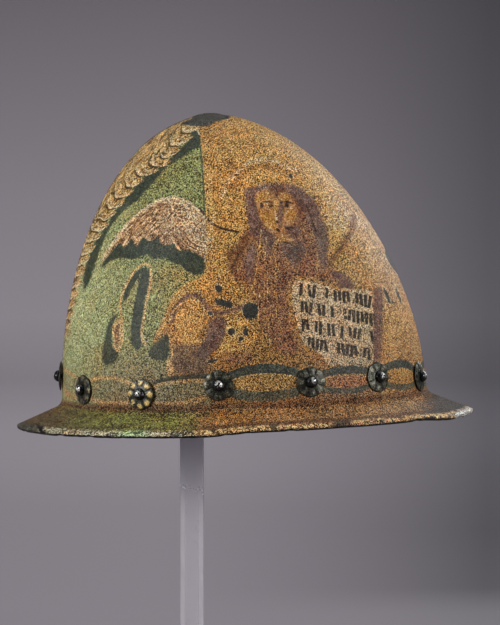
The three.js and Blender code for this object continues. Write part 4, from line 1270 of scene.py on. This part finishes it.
def losses(coat):
    """Places where the coat has flaked down to the dark steel, with pale broken edges."""
    net = coat.net
    torn = net.sub(net.noise(0.9 * MM, detail=2, roughness=0.7, shift=23), 0.5)
    distance = net.add(net.field("loss"), net.add(net.mul(coat.ragged, 3.0), net.mul(torn, 4.0)))
    ring = net.both(net.smooth(distance, 1.4, 0.7), net.smooth(distance, -0.4, 0.4), coat.kept(0.62))
    coat.lay(net.mul(ring, 0.7), "halo")
    lost = net.smooth(distance, 0.4, -0.4)
    pin = net.cells(2.3 * MM)
    pits = net.both(net.smooth(pin, 0.15, 0.1), net.smooth(coat.patch, 0.48, 0.54))
    lost = net.math("MAXIMUM", net.mul(lost, coat.kept(0.05)), pits)
    coat.lay(lost, "loss", calm=True)
    return lost


def turned_edge(coat):
    """The brim's turned edge: mottled and chipped paint over dark steel, dark below."""
    net = coat.net
    chips = net.noise(2.1 * MM, detail=2, roughness=0.6, shift=31)
    value = net.add(net.mul(net.sub(chips, 0.5), 3.0), net.add(net.mul(net.sub(coat.value, 0.5), 0.9), 0.48))
    paint = net.tone(value, "rim_rear")
    paint = net.mix(coat.window(118, 146, 9.0), paint, net.tone(value, "rim_green"))
    ahead = net.smooth(net.add(coat.x, net.mul(net.sub(coat.patch, 0.5), 50.0)), 176, 200)
    red = net.smooth(net.noise(5 * MM, detail=2, shift=37), 0.5, 0.58, 0.0, 0.85)
    red = net.both(red, coat.window(272, 398, 10.0))
    front = net.mix(red, net.tone(value, "rim_front"), net.tone(value, "rim_red"))
    paint = net.mix(ahead, paint, front)
    gaps = net.smooth(net.noise(8 * MM, detail=2, roughness=0.6, shift=43), 0.56, 0.62)
    worn = net.math("MAXIMUM", gaps, coat.window(332, 352, 5.0))
    # The edge's far left end is darkened too: painted shade there
    worn = net.math("MAXIMUM", worn, net.smooth(coat.x, 52, 34))
    paint = net.mix(net.mul(worn, 0.85), paint, coat.tone("nose"))
    rim = net.smooth(net.add(coat.zone, net.mul(coat.ragged, 0.35)), 2.84, 2.91)
    coat.lay(net.mul(rim, net.smooth(coat.zone, 4.4, 4.2)), paint)
    under = net.smooth(net.add(coat.zone, net.mul(net.sub(chips, 0.5), 0.5)), 3.24, 3.32)
    coat.lay(under, "nose", calm=True)
    coat.lay(coat.mask("crack", 0.5, 1.0), "nose", calm=True)
    return net.mul(rim, chips)


def bare_steel(coat):
    """The stub on the apex and the rubbed tip of the brim's edge."""
    net = coat.net
    stub = coat.mask("stub", 0.7, 2.6)
    coat.lay(stub, "steel")
    tip = net.smooth(net.add(coat.x, net.mul(net.sub(coat.patch, 0.5), 14.0)), 453, 458)
    tip = net.mul(tip, net.smooth(coat.zone, 2.8, 3.0))
    coat.lay(tip, "bright")
    return net.math("MAXIMUM", stub, tip)


def dark_brass():
    """Blackened brass with rubbed petals; the gilt value brings back their old cream and gold."""
    net = Net("dark_brass")
    grain = net.noise(0.9 * MM, detail=3, roughness=0.65)
    patch = net.noise(3.0 * MM, detail=2, shift=5)
    rub = net.field("petal")
    dark = net.ramp(grain, linear(BRASS_DARK))
    rubbed = net.ramp(grain, linear(BRASS_RUBBED))
    gold = net.ramp(grain, linear(BRASS_GOLD))
    dull = net.sub(1.0, net.smooth(net.field("gilt"), 0.1, 0.6))
    colour = net.mix(net.both(rub, dull, net.smooth(patch, 0.36, 0.6)), dark, rubbed)
    worn = net.smooth(net.add(net.mul(net.sub(patch, 0.5), 1.8), grain), 0.38, 0.52)
    colour = net.mix(net.mul(net.field("gilt"), worn), colour, gold)
    net.set(colour=colour, metal=net.blend(net.field("gilt"), 0.6, 0.05),
            rough=net.smooth(grain, 0.3, 0.7, 0.26, 0.46))
    net.bump(net.add(grain, net.mul(patch, 0.8)), 0.25 * MM, 0.6)
    return net.material


def bright_steel():
    """Blackened, glossy rivet heads with broken painted highlights on their crowns."""
    net = Net("bright_steel")
    grain = net.noise(0.7 * MM, detail=3, roughness=0.6)
    dents = net.noise(2.0 * MM, detail=2, shift=9)
    dark = net.ramp(grain, linear(RIVET_DARK))
    # Painted highlights: broken near-white patches on each crown
    crown_highlights = net.both(net.field("crown"), net.smooth(net.noise(1.1 * MM, detail=1, shift=13), 0.46, 0.52))
    colour = net.mix(crown_highlights, dark, srgb((228, 226, 220)))
    net.set(colour=colour, metal=net.blend(crown_highlights, 0.75, 0.2), rough=net.smooth(grain, 0.35, 0.7, 0.1, 0.24))
    net.bump(net.add(net.mul(grain, 0.2), dents), 0.7 * MM, 0.8)
    return net.material


def clear_acrylic():
    """Clear cast acrylic, a little milky and scuffed, with paler edges and a hazed top darkened by painted
    shade.
    """
    net = Net("clear_acrylic")
    cloud = net.noise(60 * MM, detail=2)
    scuff = net.noise(5 * MM, detail=4, roughness=0.7, shift=3)
    colour = net.ramp(net.add(net.mul(cloud, 0.8), net.mul(scuff, 0.2)), ACRYLIC_TONES)
    split = net.node("ShaderNodeSeparateXYZ")
    net.link(net.place, split.inputs[0])
    # Painted shade: the post's top is tinted darker below the helmet
    high = net.smooth(split.outputs["Z"], POST_SHADE[0], POST_SHADE[1])
    colour = net.tint(colour, net.mix(high, (1, 1, 1, 1), srgb((214, 213, 217))))
    low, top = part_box("stand_post")
    off_middle = net.math("ABSOLUTE", net.sub(split.outputs["X"], (low.x + top.x) / 2))
    half = (top.x - low.x) / 2
    strip = net.both(net.smooth(off_middle, half - 3.2 * MM, half - 2.6 * MM),
                     net.smooth(off_middle, half, half - 0.5 * MM))
    milk = net.smooth(cloud, 0.3, 0.7, 0.72, 0.76)
    net.set(colour=colour, transmission=net.sub(milk, net.mul(strip, 0.07)), ior=1.49)
    haze = net.mul(high, 0.3)
    net.set(rough=net.add(net.smooth(scuff, 0.3, 0.75, 0.12, 0.2), haze))
    net.bump(scuff, 0.1 * MM, 0.08)
    return net.material


def cap_felt():
    """Grey felt glued over the stand's cap."""
    net = Net("cap_felt")
    fuzz = net.noise(0.8 * MM, detail=4, roughness=0.7)
    cloud = net.noise(12 * MM, detail=2, shift=4)
    colour = net.ramp(net.add(net.mul(fuzz, 0.7), net.mul(cloud, 0.3)), linear(FELT_GREY))
    net.set(colour=colour, rough=0.95, sheen=0.4, sheen_rough=0.5)
    net.bump(fuzz, 0.5 * MM, 0.7)
    return net.material


# Pieces
def add_mesh(name, points, faces, material, fields=None, smooth=True):
    mesh = bpy.data.meshes.new(name)
    mesh.from_pydata([tuple(p) for p in points], [], faces)
    mesh.materials.append(material)
    for key, values in (fields or {}).items():
        attribute = mesh.attributes.new(key, "FLOAT", "POINT")
        attribute.data.foreach_set("value", np.asarray(values, np.float32))
    mesh.polygons.foreach_set("use_smooth", [smooth] * len(mesh.polygons))
    mesh.update()
    made = bpy.data.objects.new(name, mesh)
    bpy.context.scene.collection.objects.link(made)
    return made


def finish_piece(piece, slot, *nodes):
    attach(piece, "root")
    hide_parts(*nodes)
    return piece


def face_outwards(piece):
    """Turns a closed mesh's faces so that they point out."""
    shape = bmesh.new()
    shape.from_mesh(piece.data)
    bmesh.ops.recalc_face_normals(shape, faces=shape.faces)
    if shape.calc_volume(signed=True) < 0:
        bmesh.ops.reverse_faces(shape, faces=shape.faces)
    shape.to_mesh(piece.data)
    shape.free()


def skull_skin(to_world):
    local, faces, zones, turns = skin_mesh()
    matrix = np.array(to_world)
    points = local @ matrix[:3, :3].T + matrix[:3, 3]
    low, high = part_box("skull")
    points = np.clip(points, low, high)
    fields = paint_fields(points, local, zones, turns)
    piece = add_mesh("skull_skin", points, faces, painted_steel(), fields)
    face_outwards(piece)
    return finish_piece(piece, "painted_steel", "skull")


def node_points(name):
    return np.array([v.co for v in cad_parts[name].data.vertices], float)


def seat_of(label, middle):
    """Centre of a rosette's back and its outward direction, from its CAD node's own points."""
    points = node_points("rosette_" + label)
    centre = (points.min(0) + points.max(0)) / 2
    _, _, axes = np.linalg.svd(points - points.mean(0), full_matrices=False)
    outward = axes[2] * np.sign(axes[2] @ (centre - middle))
    depth = (points - centre) @ outward
    aside = points - centre - depth[:, None] * outward
    rim = np.linalg.norm(aside, axis=1) > 0.8 * ROSETTE_RADIUS
    centre = points[rim].mean(0)
    low = ((points - centre) @ outward).min()
    return Vector(centre + outward * low), Vector(outward)


def lathe_faces(rows, columns):
    faces = []
    for row in range(rows):
        for column in range(columns):
            after = (column + 1) % columns
            below = (row + 1) % rows
            here, there = row * columns, below * columns
            faces.append((here + column, here + after, there + after, there + column))
    return faces


def rosette_form(columns=128):
    """Rows of a dished washer with petals: points, faces, where petals rub and where gilding stays."""
    angle = np.linspace(0, 2 * math.pi, columns, endpoint=False)
    lobe = 2 * np.abs(np.cos(angle * PETALS / 2)) ** 0.8 - 1
    pitch = 2 * math.pi / PETALS
    aside = np.abs(np.mod(angle + pitch / 2, pitch) - pitch / 2) / (pitch / 2)
    section = [(1.0, 0.0, 0.0), (1.0, 0.32, 0.0), (0.985, 0.52, 0.02), (0.95, 0.58, 0.06), (0.91, 0.66, 0.13),
               (0.86, 0.84, 0.19), (0.78, 0.98, 0.2), (0.7, 1.1, 0.2), (0.62, 1.2, 0.18), (0.55, 1.26, 0.1),
               (0.5, 1.34, 0.04), (0.455, 1.45, 0.0)]
    points, petal, gilt = [], [], []
    for share, height, lift in section:
        radius = share * ROSETTE_RADIUS * (1 + ROSETTE_SCALLOP * lobe * share**2)
        rise = (height + lift * lobe) * MM
        points.append(np.stack([radius * np.cos(angle), radius * np.sin(angle), rise], 1))
        off_middle = (share - PETAL_OVAL["middle"]) / PETAL_OVAL["length"]
        oval = off_middle ** 2 + (aside / PETAL_OVAL["width"]) ** 2
        on_face = 1 if height > 0.52 else 0
        gilt.append(np.clip(1.5 * (1 - oval), 0, 1) * on_face)
        fan = np.clip((share - 0.52) / 0.25, 0, 1) * np.clip((0.985 - share) / 0.04, 0, 1)
        petal.append(np.clip((lobe - 0.05) / 0.6, 0, 1) * fan)
    for height in (ROSETTE_COLLAR, 0):
        bore = np.full(columns, ROSETTE_BORE)
        points.append(np.stack([bore * np.cos(angle), bore * np.sin(angle), np.full(columns, height)], 1))
        petal.append(np.zeros(columns))
        gilt.append(np.zeros(columns))
    faces = lathe_faces(len(points), columns)
    return np.concatenate(points), faces, np.concatenate(petal), np.concatenate(gilt)


def rivet_form(grip, seed, columns=40):
    """Rows of a domed rivet with a slightly uneven head, its shank and its clenched tail."""
    radius, height = RIVET_HEAD["radius"], RIVET_HEAD["height"]
    angles = np.linspace(0.06, math.pi / 2, 9)
    rows = [(radius * math.sin(a), height * math.cos(a)) for a in angles]
    rows += [(radius * 0.97, -0.02 * MM), (RIVET_SHANK, 0), (RIVET_SHANK, -grip)]
    tail, length = RIVET_TAIL["radius"], RIVET_TAIL["length"]
    rows += [(tail, -grip), (tail, -grip - 0.5 * length), (tail * 0.75, -grip - length)]
    turn = np.linspace(0, 2 * math.pi, columns, endpoint=False)
    rings = [np.stack([r * np.cos(turn), r * np.sin(turn), np.full(columns, z)], 1) for r, z in rows]
    points = np.concatenate(rings)
    uneven = ripple(points + seed, 3.4 * MM, seed=seed)
    head = points[:, 2] > 0.2 * MM
    points[head] *= (1 - 0.05 * uneven[head])[:, None]
    faces = lathe_faces(len(rows), columns)[: (len(rows) - 1) * columns]
    faces.append(list(range(columns)))
    faces.append(list(range((len(rows) - 1) * columns, len(rows) * columns))[::-1])
    return points, faces


def fastenings():
    """The rosettes and rivets, each on its CAD node's seat."""
    middle = np.array(sum(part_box("skull"), Vector())) / 2
    brass, steel = dark_brass(), bright_steel()
    shape, faces, petal, ovals = rosette_form()
    labels = sorted(name[-2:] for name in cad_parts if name.startswith("rosette_"))
    for label in labels:
        place, outward = seat_of(label, middle)
        matrix = Matrix.Translation(place) @ outward.to_track_quat("Z", "Y").to_matrix().to_4x4()
        to_world = np.array(matrix)
        gilt = ovals * GILDING.get(label, 0.04)
        points = shape @ to_world[:3, :3].T + to_world[:3, 3]
        rosette = add_mesh("petal_rosette_" + label, points, faces, brass, {"petal": petal, "gilt": gilt})
        face_outwards(rosette)
        finish_piece(rosette, "rosette_brass", "rosette_" + label)
        depth = (node_points("rivet_" + label) - np.array(place)) @ np.array(outward)
        head_seat = ROSETTE_COLLAR + GAP
        grip = head_seat - depth.min() - RIVET_TAIL["length"]
        points, rivet_faces = rivet_form(grip, int(label))
        points = (points + (0, 0, head_seat)) @ to_world[:3, :3].T + to_world[:3, 3]
        # Each point's share of the painted highlight, round a spot just above the crown
        crown = np.array(place + outward * (head_seat + RIVET_HEAD["height"]) + Vector(CROWN_HIGHLIGHT["shift"]))
        crown = np.clip(1.5 - np.linalg.norm(points - crown, axis=1) / CROWN_HIGHLIGHT["radius"], 0, 1)
        rivet = add_mesh("domed_rivet_" + label, points, rivet_faces, steel, {"crown": crown})
        face_outwards(rivet)
        finish_piece(rivet, "bright_steel", "rivet_" + label)


def bevelled(piece, width, segments=3):
    bevel = piece.modifiers.new("bevel", "BEVEL")
    bevel.width = width
    bevel.segments = segments
    bevel.limit_method = "ANGLE"
    bevel.angle_limit = math.radians(40)


def box_piece(name, low, high, material):
    shape = bmesh.new()
    bmesh.ops.create_cube(shape, size=1)
    size, centre = high - low, (high + low) / 2
    for vertex in shape.verts:
        vertex.co = Vector((vertex.co.x * size.x, vertex.co.y * size.y, vertex.co.z * size.z)) + centre
    mesh = bpy.data.meshes.new(name)
    shape.to_mesh(mesh)
    shape.free()
    mesh.materials.append(material)
    made = bpy.data.objects.new(name, mesh)
    bpy.context.scene.collection.objects.link(made)
    return made


def stand(to_world):
    acrylic = clear_acrylic()
    post = box_piece("acrylic_post", *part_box("stand_post"), acrylic)
    bevelled(post, 0.7 * MM)
    finish_piece(post, "clear_acrylic", "stand_post")
    foot = foot_plate(acrylic)
    finish_piece(foot, "clear_acrylic", "stand_foot")
    cap = felt_cap(to_world)
    finish_piece(cap, "cap_felt", "stand_cap")


def foot_plate(material, corner=6 * MM, sides=12):
    """A square plate with round corners, polished edges and the post's socket."""
    low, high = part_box("stand_foot")
    post_low, post_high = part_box("stand_post")
    bevel = 1 * MM
    half = (high.x - low.x) / 2

    def ring(inset, z):
        made = []
        radius = corner + bevel - inset
        for quarter in range(4):
            for i in range(sides + 1):
                angle = (quarter + i / sides) * math.pi / 2
                sign_x = 1 if quarter in (0, 3) else -1
                sign_y = 1 if quarter < 2 else -1
                centre = half - corner - bevel
                x = sign_x * centre + radius * math.cos(angle)
                y = sign_y * centre + radius * math.sin(angle)
                made.append((x, y, z))
        return made

    rows = [ring(bevel, low.z), ring(0.3 * bevel, low.z + 0.3 * bevel), ring(0, low.z + bevel)]
    rows += [ring(0, high.z - bevel), ring(0.3 * bevel, high.z - 0.3 * bevel), ring(bevel, high.z)]
    socket_floor = post_low.z - GAP
    corners = [(post_high.x + GAP, post_high.y + GAP), (post_low.x - GAP, post_high.y + GAP),
               (post_low.x - GAP, post_low.y - GAP), (post_high.x + GAP, post_low.y - GAP)]
    count = len(rows[0])
    points = [p for row in rows for p in row]
    faces = lathe_faces(len(rows), count)[: (len(rows) - 1) * count]
    faces.append(list(range(count))[::-1])
    top = (len(rows) - 1) * count
    mouth = len(points)
    points += [(x, y, high.z) for x, y in corners] + [(x, y, socket_floor) for x, y in corners]
    quarter_start = [quarter * (sides + 1) for quarter in range(4)]
    for quarter in range(4):
        after = (quarter + 1) % 4
        arc = [top + quarter_start[quarter] + i for i in range(sides + 1)]
        faces.append([*arc, mouth + quarter])
        faces.append([arc[-1], top + quarter_start[after], mouth + after, mouth + quarter])
        faces.append([mouth + quarter, mouth + after, mouth + 4 + after, mouth + 4 + quarter])
    faces.append([mouth + 4 + i for i in range(4)])
    piece = add_mesh("acrylic_foot", points, faces, material, smooth=False)
    face_outwards(piece)
    return piece


def felt_cap(to_world, columns=96, rows=26):
    """The felted cap under the crown: the inner form, rolled in at its level lower edge."""
    low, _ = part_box("stand_cap")
    matrix = np.array(to_world)
    turn = np.linspace(0, 2 * math.pi, columns, endpoint=False)
    rings = []
    for share in np.linspace(0.02, CAP_SHARE, rows):
        ring = hammered(np.full_like(turn, share), turn, CAP_DEPTH)
        rings.append(ring @ matrix[:3, :3].T + matrix[:3, 3])
    rings = np.array(rings)
    roll = 2.5 * MM
    floor = low.z + roll
    kept = []
    for column in range(columns):
        profile = rings[:, column]
        height = profile[:, 2]
        stop = np.interp(-floor, -height, np.arange(rows))
        at = np.linspace(0, stop, rows)
        kept.append([[np.interp(i, np.arange(rows), profile[:, k]) for k in range(3)] for i in at])
    rings = np.swapaxes(np.array(kept), 0, 1)
    axis = rings[-1].mean(0)
    outline = rings[-1]
    radial = outline - axis
    radial[:, 2] = 0
    radial /= np.linalg.norm(radial, axis=1, keepdims=True)
    rolled = []
    for angle in np.linspace(0, math.pi / 2, 6)[1:]:
        ring = outline - radial * roll * (1 - math.cos(angle))
        ring[:, 2] = floor - roll * math.sin(angle)
        rolled.append(ring)
    points = np.concatenate([rings.reshape(-1, 3), *rolled])
    count = rows + len(rolled)
    faces = lathe_faces(count, columns)[: (count - 1) * columns]
    faces.append(list(range(columns))[::-1])
    faces.append([(count - 1) * columns + i for i in range(columns)])
    piece = add_mesh("felt_cap", points, faces, cap_felt())
    face_outwards(piece)
    return piece


# Stage: a plain round backdrop that curves up from the floor, with painted light on it, soft lights and the
# camera
STAGE_RADIUS = 4.6
STAGE_CURVE = 1.6
STAGE_HEIGHT = 4.2
STAGE_STEPS = 24
STAGE_COLUMNS = 96
BACKDROP_RISE = (-0.16, 0.08)
BACKDROP_SIDES = (-0.038, 0.0904)
BACKDROP_TURN = 1.6
# Painted light on the backdrop, from bottom to top: the left ramp lit, the right ramp in shade
BACKDROP_LIT_LEFT = [(0.0, (132, 127, 134)), (0.2, (118, 113, 119)), (0.36, (118, 113, 119)),
                 (0.5, (131, 126, 132)), (0.68, (124, 119, 125)), (1.0, (99, 94, 100))]
BACKDROP_SHADED_RIGHT = [(0.0, (125, 122, 128)), (0.033, (115, 113, 118)), (0.072, (82, 80, 85)),
                  (0.166, (70, 68, 73)), (0.26, (70, 68, 73)), (0.36, (78, 76, 81)), (0.5, (89, 87, 92)),
                  (0.68, (82, 80, 85)), (1.0, (68, 66, 71))]


def backdrop():
    profile = [(0.0, 0.0), (1.0, 0.0), (2.0, 0.0), (STAGE_RADIUS - STAGE_CURVE, 0.0)]
    for i in range(1, STAGE_STEPS + 1):
        angle = i / STAGE_STEPS * math.pi / 2
        radius = STAGE_RADIUS - STAGE_CURVE * (1 - math.sin(angle))
        profile.append((radius, STAGE_CURVE * (1 - math.cos(angle))))
    profile.append((STAGE_RADIUS, STAGE_HEIGHT))
    columns = STAGE_COLUMNS
    points = [(0.0, 0.0, 0.0)]
    faces = []
    for row, (radius, height) in enumerate(profile[1:]):
        for column in range(columns):
            turn = 2 * math.pi * column / columns
            points.append((radius * math.cos(turn), radius * math.sin(turn), height))
        first = 1 + row * columns
        inner = first - columns
        for column in range(columns):
            after = (column + 1) % columns
            if row == 0:
                faces.append((0, first + column, first + after))
            else:
                faces.append((first + column, first + after, inner + after, inner + column))
    net = Net("backdrop")
    split = net.node("ShaderNodeSeparateXYZ")
    net.link(net.place, split.inputs[0])
    away = net.math("MAXIMUM", net.add(split.outputs["Y"], CAMERA_DISTANCE), 0.5)
    across = net.math("DIVIDE", split.outputs["X"], away)
    above = net.math("DIVIDE", net.sub(split.outputs["Z"], camera_place().z), away)
    # Painted light: the backdrop is lit low on the left and falls off upwards and to the right, measured from
    # the camera's place
    level = net.level(above, *BACKDROP_RISE)
    side = net.math("POWER", net.level(across, *BACKDROP_SIDES), BACKDROP_TURN)
    left = net.ramp(level, linear(BACKDROP_LIT_LEFT))
    right = net.ramp(level, linear(BACKDROP_SHADED_RIGHT))
    net.set(colour=net.mix(side, left, right), rough=0.9, specular=0.1)
    piece = add_mesh("studio_backdrop", points, faces, net.material)


def softbox(name, place, size, power, colour=(1, 1, 1), aim=(0, 0, 0.26)):
    light = bpy.data.lights.new(name, "AREA")
    light.shape = "RECTANGLE"
    light.size, light.size_y = size
    light.energy = power
    light.color = colour
    made = bpy.data.objects.new(name, light)
    made.location = place
    made.rotation_euler = (Vector(aim) - Vector(place)).to_track_quat("-Z", "Y").to_euler()
    made.visible_camera = False
    bpy.context.scene.collection.objects.link(made)


def lights():
    softbox("left_softbox", (-2.1, -1.25, 0.95), (0.9, 1.3), 54, (1.0, 0.985, 0.96))
    softbox("right_softbox", (2.1, -1.05, 0.75), (0.8, 1.3), 39, (1.0, 0.985, 0.97))
    softbox("top_softbox", (0.1, 0.2, 2.4), (1.6, 1.6), 11, (0.97, 0.98, 1.0))
    softbox("back_softbox", (1.4, 1.6, 1.3), (1.2, 1.2), 20, (1.0, 1.0, 1.0))
    softbox("backdrop_light", (0, 1.6, 2.5), (2.6, 1.2), 90, (1.0, 1.0, 1.0), aim=(0, 4.2, 0.5))
    world = bpy.data.worlds.new("studio")
    world.use_nodes = True
    world.node_tree.nodes["Background"].inputs["Color"].default_value = srgb((214, 212, 218))
    world.node_tree.nodes["Background"].inputs["Strength"].default_value = 0.35
    bpy.context.scene.world = world


def camera():
    data = bpy.data.cameras.new("photo_camera")
    data.sensor_width = SENSOR_WIDTH
    data.lens = SENSOR_WIDTH * CAMERA_DISTANCE / (PHOTO_SIZE[1] * PIXEL)
    data.clip_end = 50
    made = bpy.data.objects.new("photo_camera", data)
    made.location = camera_place()
    made.rotation_euler = (CAMERA_AIM - made.location).to_track_quat("-Z", "Y").to_euler()
    bpy.context.scene.collection.objects.link(made)
    bpy.context.scene.camera = made


bpy.context.scene.view_settings.view_transform = "Standard"
camera()
backdrop()
lights()
helmet_to_world = place_helmet()
skull_skin(helmet_to_world)
fastenings()
stand(helmet_to_world)
